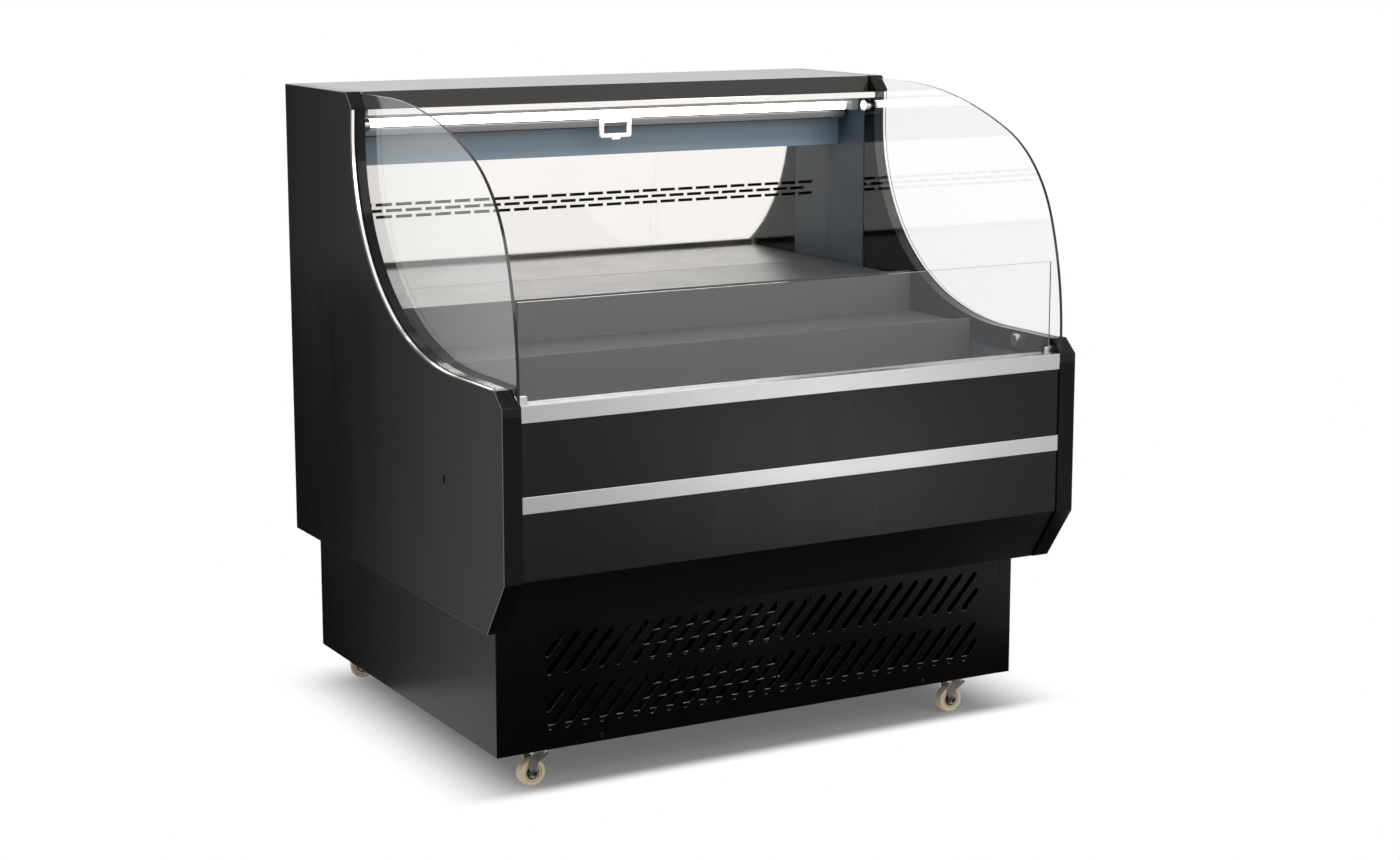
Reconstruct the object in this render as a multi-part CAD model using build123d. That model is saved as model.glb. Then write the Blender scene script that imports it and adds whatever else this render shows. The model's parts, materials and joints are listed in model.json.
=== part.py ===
from build123d import *
import os
from math import atan2, cos, degrees, hypot, radians, sin, tan

# Open multideck display fridge, in millimetres. The origin is on the floor under
# the centre of the cabinet: +X to the shopper's right, +Y to the rear, +Z up.
# Depths named *_Y are measured back from the front plane of the side panels.

# ---- overall ----
WIDTH = 1200.0
DEPTH = 1000.0
HEIGHT = 1222.0
FRONT = -DEPTH / 2
HALF = WIDTH / 2
SHEET = 2.0
CUT = 1.0

# ---- side panels: thickness, and their outline seen from the side ----
PANEL_T = 30.0
SKIN_T = 2.5
PANEL_IN = HALF - PANEL_T
PANEL_BOTTOM = 321.0
NOSE_BOTTOM = 423.0
SKIRT_FOOT_Y = 73.0
NOSE_TOP = 728.0
SHOULDER_Y = 30.0
SHOULDER_Z = 755.0
SWEEP_START_Y = 199.7
SWEEP_ARCS = [(608.0, 19.3), (410.8, 22.54), (352.5, 53.16)]
BROW_Z = 1195.0
BROW_TOP_Y = 678.0
EDGE_R = 2.0

# ---- front posts, rims, caps and plugs of the side panels ----
POST_T = 7.0
BODY_HALF = PANEL_IN - POST_T
POST_DEPTH = 42.0
POST_BEND_Z = 438.0
POST_FOOT_Y = 124.0
RIM_T = 2.0
RIM_LIP = 5.5
RIM_GROOVE = 4.5
RIM_GROOVE_DEEP = 1.0
CAP_DEPTH = 46.0
CAP_FOOT = 712.0
TOP_CAP_FOOT = 1190.0
TOP_CAP_Y = 700.0
PANE_SLOT_Y = 3.5
PLUG_LENGTH = 18.0
PLUG_WIDTH = 9.0
PLUG_SINK = 0.3
PLUG_SPOTS = [(244.5, 564.0), (785.5, 564.0)]

# ---- glass ----
GLASS_T = 6.0
GLASS_OUT = PANEL_IN
GLASS_IN = GLASS_OUT - GLASS_T
GLASS_TOP = 1218.0
GLASS_BACK_Y = 688.0
GLASS_FOOT = 714.0
GLASS_CROWN_Y = 561.5
GLASS_ARCS = [(953.1, 23.06), (263.9, 47.54), (681.4, 19.4)]
GLASS_GAP = 2.0
KNOB_R = 12.5
KNOB_LEN = 12.0
KNOB_CHAMFER = 1.5
KNOB_SPOTS = [(674.7, 1160.0), (136.8, 738.0)]
RISER_Y = 25.0
RISER_HALF = 556.0
RISER_TOP = 903.0
RISER_FOOT = 715.0
CLIP_LEN = 14.0
CLIP_H = 12.0
CLIP_WALL = 4.0

# ---- front face: trims and panels, bottom to top ----
LOWER_PANEL_Z = (425.0, 543.0)
MID_TRIM_Z = (543.0, 573.0)
UPPER_PANEL_Z = (573.0, 700.0)
TOP_TRIM_Z = (700.0, 730.0)
TRIM_FACE_Y = 1.0
PANEL_FACE_Y = 3.0
TRIM_WALL = 3.0
TRIM_LEDGE = 13.0
TROUGH_FLOOR = 4.0

# ---- canopy ----
ROOF_T = 14.0
NOTCH_Y = 600.0
FASCIA_Y = 676.0
FASCIA_T = 4.0
FASCIA_FOOT = 1188.0
RAIL_Y = 648.0
RAIL_FOOT = 1178.0
LINER_Z = 1186.0
BAND_Y = 790.0
BAND_FOOT = 1072.0
OUTLET_Y = (683.0, 711.0)
OUTLET_HALF = 545.0
OUTLET_RIM = 6.0
CELL_COUNT = 44
CELL_ACROSS = 22.0
CELL_DEEP = 16.0

# ---- lamp ----
LAMP_Y = 722.0
LAMP_Z = 1159.0
LAMP_R = 8.0
LAMP_HALF = 548.0
FERRULE_LEN = 14.0
FERRULE_LIP = 0.8
HOLDER_HALF_D = 9.0
HOLDER_GAP = 1.0
SOCKET_DROP = 11.0
SOCKET_R = 6.0

# ---- night blind ----
CASSETTE_Y = (745.0, 781.0)
CASSETTE_Z = (1149.5, 1185.5)
CASSETTE_HALF = 556.0
CASSETTE_WALL = 1.5
CHEEK_T = 4.0
CLOTH_Y = 750.0
CLOTH_T = 1.0
CLOTH_HALF = 540.0
CLOTH_TOP = 1160.0
SLOT_FRONT = 3.0
SLOT_BACK = 4.0
ROLLER_Y = 763.0
ROLLER_Z = 1167.0
ROLLER_R = 13.0
ROLLER_PIN_R = 4.0
PIN_CLEARANCE = 0.05
END_PLAY = 0.5
BAR_Y = (741.0, 757.0)
BAR_Z = (1131.0, 1148.0)
BAR_HALF = 548.0
BAR_R = 3.0
HANDLE_W = 70.0
HANDLE_H = 38.0
HANDLE_T = 6.0
HANDLE_BAR = 8.0
HANDLE_R = (5.0, 2.0)
TAB_SIZE = (20.0, 6.0, 2.5)
TAB_DROP = 1.5

# ---- cold well ----
WALL_Y = 30.0
TUB_FRONT_IN = 75.0
TUB_TOP = 708.0
TUB_BOTTOM = 323.0
TUB_FLOOR = 365.0
TUB_BACK_Y = (950.0, 998.0)
TUB_BEND_OUT = (412.0, 90.0)
TUB_BEND_IN = (432.0, 115.0)
LINER_GAP = 2.0
LINER_BEND_Z = 440.0
LINER_FOOT_Y = 129.0
INNER_WALL_Y = 827.0
INNER_WALL_FOOT = 640.0
SLOT_ROWS_Z = [990.0, 978.0, 966.0]
SLOT_W = 34.0
SLOT_H = 6.0
SLOT_PITCH = 42.0
SLOT_COUNT = 25

# ---- decks: front edge, back edge and height of each ----
DECKS = [(100.0, 300.0, 680.0), (290.0, 520.0, 750.0), (505.0, 826.0, 820.0)]
DECK_HALF = 559.0
FRONT_STOP = 26.0
DECK_LIP = 12.0
FRONT_DECK_FOOT = 660.0
SUPPORT_FOOT = 640.0
SUPPORT_T = 8.0
SUPPORT_LEDGE = 20.0
RETURN_COUNT = 22
RETURN_SLOT = (40.0, 12.0)
RETURN_Y = 84.0

# ---- evaporator and its fans ----
COIL_HALF = 420.0
COIL_Y = (500.0, 640.0)
COIL_Z = (372.0, 540.0)
COIL_FINS = 30
COIL_FIN_T = 2.0
END_PLATE_T = 2.0
COIL_ROWS = 4
COIL_ROW_PITCH = 36.0
COIL_TUBE_R = 4.8
COIL_TUBE_Y = 35.0
COIL_BEND = 28.0
BEND_LEG = 6.0
BAFFLE_Y = 380.0
EVAP_FAN_X = 240.0
EVAP_FAN_Z = 500.0
EVAP_FAN_R = 85.0
EVAP_HUB = (26.0, 22.0)
EVAP_SHAFT_END = 36.0
BLADE_COUNT = 5
BLADE_TWIST = 40.0
BLADE_T = (2.4, 1.6)
SHAFT_R = 4.0
MOUTH_GAP = 5.0
MOUTH_WALL = 2.0
EVAP_MOUTH_DEPTH = 14.0
EVAP_MOTOR_R = 32.0
EVAP_MOTOR_Y = (24.0, 74.0)
STRUT_Y = (30.0, 34.0)
STRUT_HALF_H = 8.0
STRUT_REACH = 12.0

# ---- base ----
BASE_HALF = 556.5
BASE_Y = (132.0, 983.0)
BASE_BOTTOM = 75.0
BASE_EDGE_R = 1.5
FLANGE = 28.0
SEAM = 0.5
PAN_H = 45.0
ANGLE_W = 25.0
ANGLE_T = 2.5
VENT_COUNT = 28
VENT_PITCH = 34.5
VENT_W = 11.0
VENT_LEFT = -461.0
VENT_HALF = 0.53
VENT_ROWS_Z = [(113.5, 185.0), (215.0, 286.5)]
VENT_RUN = 65.0
SCREW_SPOT = (349.0, 86.0)
SCREW_HOLE_R = 2.6
SCREW_SHANK = (2.5, 9.0)
SCREW_HEAD = (4.5, 1.6)
REAR_VENT_ROWS = 5
REAR_VENT_Z = 130.0
REAR_VENT_PITCH = 30.0
REAR_VENT_X = (-180.0, 20.0, 220.0, 420.0)
REAR_VENT_SIZE = (170.0, 8.0)

# ---- condensing unit ----
COND_X = (-250.0, 40.0)
COND_Y = (160.0, 200.0)
COND_Z = (97.0, 285.0)
COND_FINS = 30
COND_FIN_T = 1.6
COND_ROWS = 6
COND_ROW_Z = 130.5
COND_ROW_PITCH = 25.4
COND_TUBE_R = 4.0
COND_TUBE_Y = 166.0
COND_BEND = 22.0
COND_FAN_R = 82.0
COND_FAN_Z = 186.0
COND_HUB = (22.0, 20.0)
COND_SHAFT_END = 35.0
COND_FAN_SETBACK = 19.0
SHROUD_DEPTH = 30.0
COND_MOTOR_R = 38.0
COND_MOTOR_Y = (40.0, 100.0)
MOTOR_NOSE = (20.0, 34.0)
MOTOR_FOOT = (20.0, 55.0, 4.0)
MOTOR_TOE_Y = 90.0
COMP_X = 300.0
COMP_Y = 560.0
COMP_R = 75.0
COMP_H = 185.0
COMP_LIFT = 16.0
COMP_BAND = (85.0, 5.0, 3.0)
COMP_SHOULDER = 130.0
COMP_RAIL = (190.0, 150.0, 3.0)
COMP_FOOT = (82.0, 62.0, 11.0)
TERMINAL_BOX = (34.0, 50.0, 60.0)
TERMINAL_Z = 111.0
STUB = 12.0
STUB_Z = 206.0
SUCTION_DROP = 70.0
STUB_R = (5.5, 7.5)
DISCHARGE_R = 4.0
LIQUID_R = 3.2
SUCTION_R = 6.0
SMALL_BEND = 12.0
SUCTION_BEND = 24.0
DISCHARGE_RUN_Y = 260.0
DRIER_SPOT = (90.0, 300.0)
DRIER_Z = (140.0, 240.0)
DRIER_R = 13.0
LINE_TOP = 290.0
RISER_SPOT = (330.0, 470.0)
TRAY_X = (-300.0, -60.0)
TRAY_Y = (620.0, 900.0)
TRAY_H = 45.0

# ---- control box ----
SWITCH_X = -430.0
SWITCH_Z = 250.0
SWITCH_PIVOT_Y = 984.0
SWITCH_HOLE = (14.0, 11.0)
FRAME_HALF = (13.5, 10.5)
WELL_HALF = (12.0, 9.0)
WELL_DEPTH = 16.0
BEZEL_HALF = (17.0, 14.0)
BEZEL_T = 2.5
FRAME_RISE = 3.0
ROCKER_HALF = (11.0, 8.0)
ROCKER_FRONT = 3.5
ROCKER_DISH = 1.5
ROCKER_BACK = (6.0, 5.0)
BOX_X = (-505.0, -355.0)
BOX_Z = (123.0, 287.0)
BOX_DEPTH = 110.0
LID_T = 4.0
LID_LAP = 2.0
GLAND_Z = 150.0
GLAND_HOLE_R = 8.2
GLAND_BORE_R = 4.0
GLAND_THREAD_R = 8.0
GLAND_FLANGE = (13.0, 3.0)
GLAND_DOME = (10.5, 12.0, 2.5)

# ---- casters ----
CASTERS = {
    "front_left": (-456.0, 177.0, 180.0),
    "front_right": (456.0, 177.0, 180.0),
    "rear_left": (-466.0, 957.0, 160.0),
    "rear_right": (466.0, 957.0, 20.0),
}
TRAIL = 14.0
WHEEL_R = 25.0
WHEEL_W = 20.0
TREAD_R = 3.0
DISH_R = (9.0, 17.0)
DISH_DEEP = 2.0
HUB_R = 8.0
HUB_PROUD = 1.0
AXLE_R = 4.0
AXLE_GAP = 0.06
PLATE_SIZE = (66.0, 50.0, 2.5)
PLATE_R = 5.0
BOLT_SPOT = (24.0, 17.5)
BOLT_HEAD = (4.5, 3.2)
RACE_R = 17.0
UPPER_RACE_Z = (66.2, 72.6)
LOWER_RACE_Z = (60.1, 65.7)
KINGPIN_Z = (56.5, 66.5)
PIN_HEAD = (6.5, 53.3, 56.7)
YOKE_T = 2.5
YOKE_HALF = 15.0
YOKE_TOP = 60.2
YOKE_SHOULDER = (57.0, 44.0, 53.0)
EYE_R = 8.5
NUT_R = 6.5
NUT_H = (4.0, 4.5)

PARTS = "parts"


# ---------------------------------------------------------------- helpers
def block(x0, x1, y0, y1, z0, z1):
    """Rectangular block between two corners; y counts back from the front."""
    size = Box(x1 - x0, y1 - y0, z1 - z0, align=Align.MIN)
    return Pos(x0, FRONT + y0, z0) * size


def polygon(points):
    """Flat face from corner points."""
    return make_face(Polyline(*points, close=True))


def along_x(face, x0, x1):
    """Extrude a side-view face (depth, height) from x0 to x1."""
    return extrude(Plane.YZ.offset(x0) * Pos(FRONT, 0) * face, amount=x1 - x0)


def rod_x(x0, x1, y, z, radius):
    """Round bar along X."""
    bar = Cylinder(radius, x1 - x0, rotation=(0, 90, 0))
    return Pos((x0 + x1) / 2, FRONT + y, z) * bar


def rod_y(x, y0, y1, z, radius):
    """Round bar along Y."""
    bar = Cylinder(radius, y1 - y0, rotation=(90, 0, 0))
    return Pos(x, FRONT + (y0 + y1) / 2, z) * bar


def rod_z(x, y, z0, z1, radius):
    """Round bar along Z."""
    return Pos(x, FRONT + y, (z0 + z1) / 2) * Cylinder(radius, z1 - z0)


def other_side(part):
    """The same piece on the opposite end of the cabinet."""
    return mirror(part, about=Plane.YZ)


def save(name, *solids):
    """Write one node; several separate solids share a node as a group."""
    shape = solids[0] if len(solids) == 1 else Compound(children=list(solids))
    shape.label = name
    export_step(shape, f"{PARTS}/{name}.step")


# ---------------------------------------------------------------- side panels
def sweep_edge(inset, top_z):
    """Front edge above the shoulder: three tangent arcs, then a straight brow."""
    arcs = []
    start = (SWEEP_START_Y, SHOULDER_Z - inset)
    direction = (1, 0)
    for radius, angle in SWEEP_ARCS:
        arc = JernArc(start, direction, radius + inset, angle)
        arcs.append(arc)
        start = arc @ 1
        direction = arc % 1
    lean = (top_z - start.Y) * direction.X / direction.Y
    brow = Line(start, (start.X + lean, top_z))
    return arcs + [brow]


def side_skin():
    """Outer sheet of a side panel, with rounded outer edges."""
    rise = sweep_edge(0, BROW_Z)
    rest = Polyline(
        rise[-1] @ 1,
        (BROW_TOP_Y, HEIGHT),
        (DEPTH, HEIGHT),
        (DEPTH, PANEL_BOTTOM),
        (SKIRT_FOOT_Y, PANEL_BOTTOM),
        (0, NOSE_BOTTOM),
        (0, NOSE_TOP),
        (SHOULDER_Y, SHOULDER_Z),
        rise[0] @ 0,
    )
    skin = along_x(make_face(rise + [rest]), HALF - SKIN_T, HALF)
    return fillet(skin.faces().sort_by(Axis.X)[-1].edges(), EDGE_R)


def side_panel():
    """Right side panel: outer skin, core cut back for rim and caps, inner post."""
    inner = sweep_edge(RIM_T, TOP_CAP_FOOT)
    back = Polyline(
        inner[-1] @ 1,
        (TOP_CAP_Y, TOP_CAP_FOOT),
        (TOP_CAP_Y, HEIGHT),
        (DEPTH, HEIGHT),
        (DEPTH, PANEL_BOTTOM),
        (SKIRT_FOOT_Y, PANEL_BOTTOM),
        (0, NOSE_BOTTOM),
        (0, CAP_FOOT),
        (CAP_DEPTH, CAP_FOOT),
        (CAP_DEPTH, SHOULDER_Z - RIM_T),
        inner[0] @ 0,
    )
    core = along_x(make_face(inner + [back]), PANEL_IN, HALF - SKIN_T)
    post = polygon([
        (0, NOSE_BOTTOM),
        (0, CAP_FOOT),
        (POST_DEPTH, CAP_FOOT),
        (POST_DEPTH, POST_BEND_Z),
        (POST_FOOT_Y, PANEL_BOTTOM),
        (SKIRT_FOOT_Y, PANEL_BOTTOM),
    ])
    panel = side_skin() + core + along_x(post, BODY_HALF, PANEL_IN)
    return panel - side_plugs(0)


def side_plugs(sink):
    """Oval blanking plugs that fill their holes in the outer skin."""
    plugs = []
    for y, z in PLUG_SPOTS:
        oval = Pos(y, z) * Rot(0, 0, 90) * SlotOverall(PLUG_LENGTH, PLUG_WIDTH)
        plugs.append(along_x(oval, HALF - SKIN_T, HALF - sink))
    return plugs


def rim_band(depth):
    """Side view of a band that follows the sweeping edge to a given depth."""
    outer = sweep_edge(0, TOP_CAP_FOOT)
    inner = sweep_edge(depth, TOP_CAP_FOOT)
    front_end = Polyline(
        inner[0] @ 0,
        (CAP_DEPTH, SHOULDER_Z - depth),
        (CAP_DEPTH, SHOULDER_Z),
        outer[0] @ 0,
    )
    top_end = Line(outer[-1] @ 1, inner[-1] @ 1)
    return make_face(outer + [top_end] + inner + [front_end])


def side_rim():
    """Polished strip between the two caps, with a groove beside its outer lip."""
    strip = along_x(rim_band(RIM_T), PANEL_IN, HALF - SKIN_T)
    groove_out = HALF - SKIN_T - RIM_LIP
    return strip - along_x(rim_band(RIM_GROOVE_DEEP), groove_out - RIM_GROOVE, groove_out)


def end_caps():
    """Black moulded blocks that close the edge at the brow and at the nose."""
    brow = sweep_edge(0, BROW_Z)[-1] @ 1
    foot = sweep_edge(0, TOP_CAP_FOOT)[-1] @ 1
    top = polygon([
        (foot.X, TOP_CAP_FOOT),
        (brow.X, BROW_Z),
        (BROW_TOP_Y, HEIGHT),
        (TOP_CAP_Y, HEIGHT),
        (TOP_CAP_Y, TOP_CAP_FOOT),
    ])
    nose = polygon([
        (0, CAP_FOOT),
        (0, NOSE_TOP),
        (SHOULDER_Y, SHOULDER_Z),
        (CAP_DEPTH, SHOULDER_Z),
        (CAP_DEPTH, CAP_FOOT),
    ])
    top_cap = along_x(top, PANEL_IN, HALF - SKIN_T)
    nose_cap = along_x(nose, BODY_HALF, HALF - SKIN_T)
    pane_slot = block(GLASS_IN, GLASS_OUT, PANE_SLOT_Y, CAP_DEPTH + CUT, CAP_FOOT - CUT, HEIGHT)
    return [top_cap, nose_cap - pane_slot]


# ---------------------------------------------------------------- glass
def end_glass():
    """Tall end pane whose front edge falls in one long curve."""
    start = (GLASS_CROWN_Y, GLASS_TOP)
    direction = (-1, 0)
    edges = []
    for radius, angle in GLASS_ARCS:
        arc = JernArc(start, direction, radius, angle)
        edges.append(arc)
        start = arc @ 1
        direction = arc % 1
    rest = Polyline(
        start,
        (start.X, GLASS_FOOT),
        (GLASS_BACK_Y, GLASS_FOOT),
        (GLASS_BACK_Y, GLASS_TOP),
        (GLASS_CROWN_Y, GLASS_TOP),
    )
    return along_x(make_face(edges + [rest]), GLASS_IN, GLASS_OUT)


def front_pane():
    """Low front pane that stands in the trough of the top trim."""
    return block(-RISER_HALF, RISER_HALF, RISER_Y, RISER_Y + GLASS_T, RISER_FOOT, RISER_TOP)


def glass_knobs():
    """Round standoff knobs that clamp an end pane to its panel."""
    knobs = []
    for y, z in KNOB_SPOTS:
        knob = rod_x(GLASS_IN - KNOB_LEN, GLASS_IN, y, z, KNOB_R)
        face_edge = knob.edges().filter_by(GeomType.CIRCLE).sort_by(Axis.X)[0]
        knobs.append(chamfer(face_edge, KNOB_CHAMFER))
    return knobs


def riser_clip():
    """Clip that holds a lower corner of the front pane on the trim."""
    x0 = RISER_HALF - CLIP_LEN
    z0 = TOP_TRIM_Z[1]
    z1 = z0 + CLIP_H
    back = RISER_Y + GLASS_T
    body = block(x0, BODY_HALF, RISER_Y - CLIP_WALL, back + CLIP_WALL, z0, z1)
    return body - block(x0 - CUT, RISER_HALF, RISER_Y, back, z0 - CUT, z1 + CUT)


# ---------------------------------------------------------------- front face
def tray_profile(z0, z1, face_y, wall):
    """Folded panel seen from the side, open at the back."""
    return polygon([
        (face_y, z0),
        (face_y, z1),
        (WALL_Y, z1),
        (WALL_Y, z1 - wall),
        (face_y + wall, z1 - wall),
        (face_y + wall, z0 + wall),
        (WALL_Y, z0 + wall),
        (WALL_Y, z0),
    ])


def top_trim():
    """Aluminium top trim: front face, ledge and the trough for the front pane."""
    z0, z1 = TOP_TRIM_Z
    y0 = TRIM_FACE_Y
    w = TRIM_WALL
    trough = RISER_FOOT - TROUGH_FLOOR
    back = RISER_Y + GLASS_T
    profile = polygon([
        (y0, z0),
        (y0, z1),
        (RISER_Y, z1),
        (RISER_Y, RISER_FOOT),
        (back, RISER_FOOT),
        (back, z1),
        (back + TRIM_LEDGE, z1),
        (back + TRIM_LEDGE, z1 - w),
        (back + w, z1 - w),
        (back + w, trough),
        (RISER_Y - w, trough),
        (RISER_Y - w, z1 - w),
        (y0 + w, z1 - w),
        (y0 + w, z0),
    ])
    return along_x(profile, -BODY_HALF, BODY_HALF)


def skirt():
    """Angled skirt under the front, with a short return to the base."""
    lean = SKIRT_FOOT_Y / (NOSE_BOTTOM - PANEL_BOTTOM)
    foot_y = SKIRT_FOOT_Y + PANEL_FACE_Y
    wall = SHEET * hypot(1, lean)
    profile = polygon([
        (PANEL_FACE_Y, LOWER_PANEL_Z[0]),
        (foot_y, PANEL_BOTTOM),
        (BASE_Y[0] + SHEET, PANEL_BOTTOM),
        (BASE_Y[0] + SHEET, TUB_BOTTOM),
        (foot_y + SHEET / 2, TUB_BOTTOM),
        (PANEL_FACE_Y + wall, LOWER_PANEL_Z[0]),
    ])
    return along_x(profile, -BODY_HALF, BODY_HALF)


# ---------------------------------------------------------------- cold well
def insulated_tub():
    """Foamed body: front wall, floor and back wall in one piece."""
    y0, y1 = TUB_BACK_Y
    out_z, out_y = TUB_BEND_OUT
    in_z, in_y = TUB_BEND_IN
    profile = polygon([
        (WALL_Y, TUB_TOP),
        (WALL_Y, out_z),
        (out_y, TUB_BOTTOM),
        (y1, TUB_BOTTOM),
        (y1, HEIGHT - ROOF_T),
        (y0, HEIGHT - ROOF_T),
        (y0, TUB_FLOOR),
        (in_y, TUB_FLOOR),
        (TUB_FRONT_IN, in_z),
        (TUB_FRONT_IN, TUB_TOP),
    ])
    return along_x(profile, -BODY_HALF, BODY_HALF)


def side_liner():
    """Dark inner cheek that closes one end of the cold well."""
    foot = TUB_BOTTOM + TRIM_WALL
    back = TUB_BACK_Y[1] - LINER_GAP
    front = GLASS_BACK_Y + GLASS_GAP
    profile = polygon([
        (CAP_DEPTH, CAP_FOOT),
        (CAP_DEPTH, LINER_BEND_Z),
        (LINER_FOOT_Y, foot),
        (back, foot),
        (back, HEIGHT - ROOF_T),
        (front, HEIGHT - ROOF_T),
        (front, CAP_FOOT),
    ])
    return along_x(profile, BODY_HALF, PANEL_IN)


def inner_wall():
    """Rear wall of the display, with three staggered rows of air slots."""
    y0 = INNER_WALL_Y
    y1 = y0 + SHEET
    wall = block(-BODY_HALF, BODY_HALF, y0, y1, INNER_WALL_FOOT, BAND_FOOT)
    slots = []
    for row, z in enumerate(SLOT_ROWS_Z):
        stagger = row % 2
        first = SLOT_PITCH * (stagger - SLOT_COUNT + 1) / 2
        for i in range(SLOT_COUNT - stagger):
            x0 = first + i * SLOT_PITCH - SLOT_W / 2
            z0 = z - SLOT_H / 2
            slots.append(block(x0, x0 + SLOT_W, y0 - CUT, y1 + CUT, z0, z0 + SLOT_H))
    return wall - slots


def rear_panel():
    """Outer rear sheet between the side panels."""
    return block(-PANEL_IN, PANEL_IN, TUB_BACK_Y[1], DEPTH, PANEL_BOTTOM, HEIGHT)


def deck(index):
    """Folded steel deck: riser, low product stop and flat shelf."""
    y0, y1, z = DECKS[index]
    foot = DECKS[index - 1][2] if index else FRONT_DECK_FOOT
    stop = z + (DECK_LIP if index else FRONT_STOP)
    profile = polygon([
        (y0, foot),
        (y0, stop),
        (y0 + SHEET, stop),
        (y0 + SHEET, z),
        (y1, z),
        (y1, z - SHEET),
        (y0 + SHEET, z - SHEET),
        (y0 + SHEET, foot),
    ])
    return along_x(profile, -DECK_HALF, DECK_HALF)


def deck_support():
    """Stepped plate on one cheek that carries the ends of the decks."""
    (a0, a1, za), (b0, b1, zb), (c0, c1, zc) = DECKS
    steps = polygon([
        (a0 + SHEET, SUPPORT_FOOT),
        (a0 + SHEET, za - SHEET),
        (a1, za - SHEET),
        (a1, zb - SHEET),
        (b1, zb - SHEET),
        (b1, zc - SHEET),
        (c1, zc - SHEET),
        (c1, SUPPORT_FOOT),
    ])
    ledge = block(DECK_HALF, BODY_HALF, a0 + SUPPORT_LEDGE, c1,
                  SUPPORT_FOOT, SUPPORT_FOOT + SUPPORT_LEDGE)
    return along_x(steps, DECK_HALF - SUPPORT_T, DECK_HALF) + ledge


def return_grille():
    """Slotted strip in front of the decks where the falling air returns."""
    y0 = RISER_Y + GLASS_T + TRIM_LEDGE
    z0 = TUB_TOP
    strip = block(-BODY_HALF, BODY_HALF, y0, DECKS[0][0], z0, z0 + SHEET)
    length, width = RETURN_SLOT
    pitch = (2 * BODY_HALF - length) / RETURN_COUNT
    slots = []
    for i in range(RETURN_COUNT):
        x = (i + 0.5 - RETURN_COUNT / 2) * pitch
        slots.append(block(x - length / 2, x + length / 2, RETURN_Y - width / 2,
                           RETURN_Y + width / 2, z0 - CUT, z0 + SHEET + CUT))
    return strip - slots


# ---------------------------------------------------------------- canopy
def roof():
    """Foamed roof panel, notched at its front corners for the end panes."""
    y0 = FASCIA_Y + FASCIA_T
    slab = block(-PANEL_IN, PANEL_IN, y0, TUB_BACK_Y[1], HEIGHT - ROOF_T, HEIGHT)
    notch = block(BODY_HALF, PANEL_IN + CUT, NOTCH_Y, GLASS_BACK_Y + GLASS_GAP,
                  HEIGHT - ROOF_T - CUT, HEIGHT + CUT)
    return slab - notch - other_side(notch)


def fascia():
    """Dark strip under the front edge of the roof."""
    return block(-BODY_HALF, BODY_HALF, FASCIA_Y, FASCIA_Y + FASCIA_T, FASCIA_FOOT, HEIGHT)


def canopy_rail():
    """Polished angle along the front of the canopy."""
    profile = polygon([
        (RAIL_Y, RAIL_FOOT),
        (RAIL_Y, FASCIA_FOOT + SHEET),
        (FASCIA_Y, FASCIA_FOOT + SHEET),
        (FASCIA_Y, FASCIA_FOOT),
        (RAIL_Y + SHEET, FASCIA_FOOT),
        (RAIL_Y + SHEET, RAIL_FOOT),
    ])
    return along_x(profile, -BODY_HALF, BODY_HALF)


def canopy_liner():
    """Underside of the canopy and the air-duct face that drops to the rear wall."""
    z0 = LINER_Z
    z1 = LINER_Z + SHEET
    wall_back = INNER_WALL_Y + SHEET
    profile = polygon([
        (RAIL_Y + SHEET, z1),
        (RAIL_Y + SHEET, z0),
        (BAND_Y, z0),
        (BAND_Y, BAND_FOOT),
        (wall_back, BAND_FOOT),
        (wall_back, BAND_FOOT + SHEET),
        (BAND_Y + SHEET, BAND_FOOT + SHEET),
        (BAND_Y + SHEET, z1),
    ])
    liner = along_x(profile, -BODY_HALF, BODY_HALF)
    return liner - block(-OUTLET_HALF, OUTLET_HALF, *OUTLET_Y, z0 - CUT, z1 + CUT)


def honeycomb():
    """Air straightener in the outlet: a row of six-sided cells."""
    y0, y1 = OUTLET_Y
    core = block(-OUTLET_HALF, OUTLET_HALF, y0, y1, LINER_Z, LINER_Z + CELL_DEEP)
    pitch = 2 * (OUTLET_HALF - OUTLET_RIM) / CELL_COUNT
    hexagon = RegularPolygon(CELL_ACROSS / 2, 6, major_radius=False)
    cell = extrude(hexagon, amount=CELL_DEEP + 2 * CUT)
    cells = []
    for i in range(CELL_COUNT):
        x = (i + 0.5 - CELL_COUNT / 2) * pitch
        cells.append(Pos(x, FRONT + (y0 + y1) / 2, LINER_Z - CUT) * cell)
    return core - cells


# ---------------------------------------------------------------- lamp and blind
def lamp_tube():
    """Lamp tube with its two end ferrules."""
    inner = LAMP_HALF - FERRULE_LEN
    tube = rod_x(-inner, inner, LAMP_Y, LAMP_Z, LAMP_R)
    ferrule = rod_x(inner, LAMP_HALF, LAMP_Y, LAMP_Z, LAMP_R + FERRULE_LIP)
    return tube + ferrule + other_side(ferrule)


def lamp_holder():
    """Channel under the canopy and the two sockets of the lamp."""
    z1 = LINER_Z
    z0 = LAMP_Z + LAMP_R + HOLDER_GAP
    y0 = LAMP_Y - HOLDER_HALF_D
    y1 = LAMP_Y + HOLDER_HALF_D
    profile = polygon([
        (y0, z0),
        (y0, z1),
        (y1, z1),
        (y1, z0),
        (y1 - SHEET, z0),
        (y1 - SHEET, z1 - SHEET),
        (y0 + SHEET, z1 - SHEET),
        (y0 + SHEET, z0),
    ])
    channel = along_x(profile, -LAMP_HALF, LAMP_HALF)
    socket = block(LAMP_HALF, BODY_HALF, y0, y1, LAMP_Z - SOCKET_DROP, z1)
    socket = fillet(socket.edges().filter_by(Axis.X).sort_by(Axis.Z)[:2], SOCKET_R)
    return [channel, socket, other_side(socket)]


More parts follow.
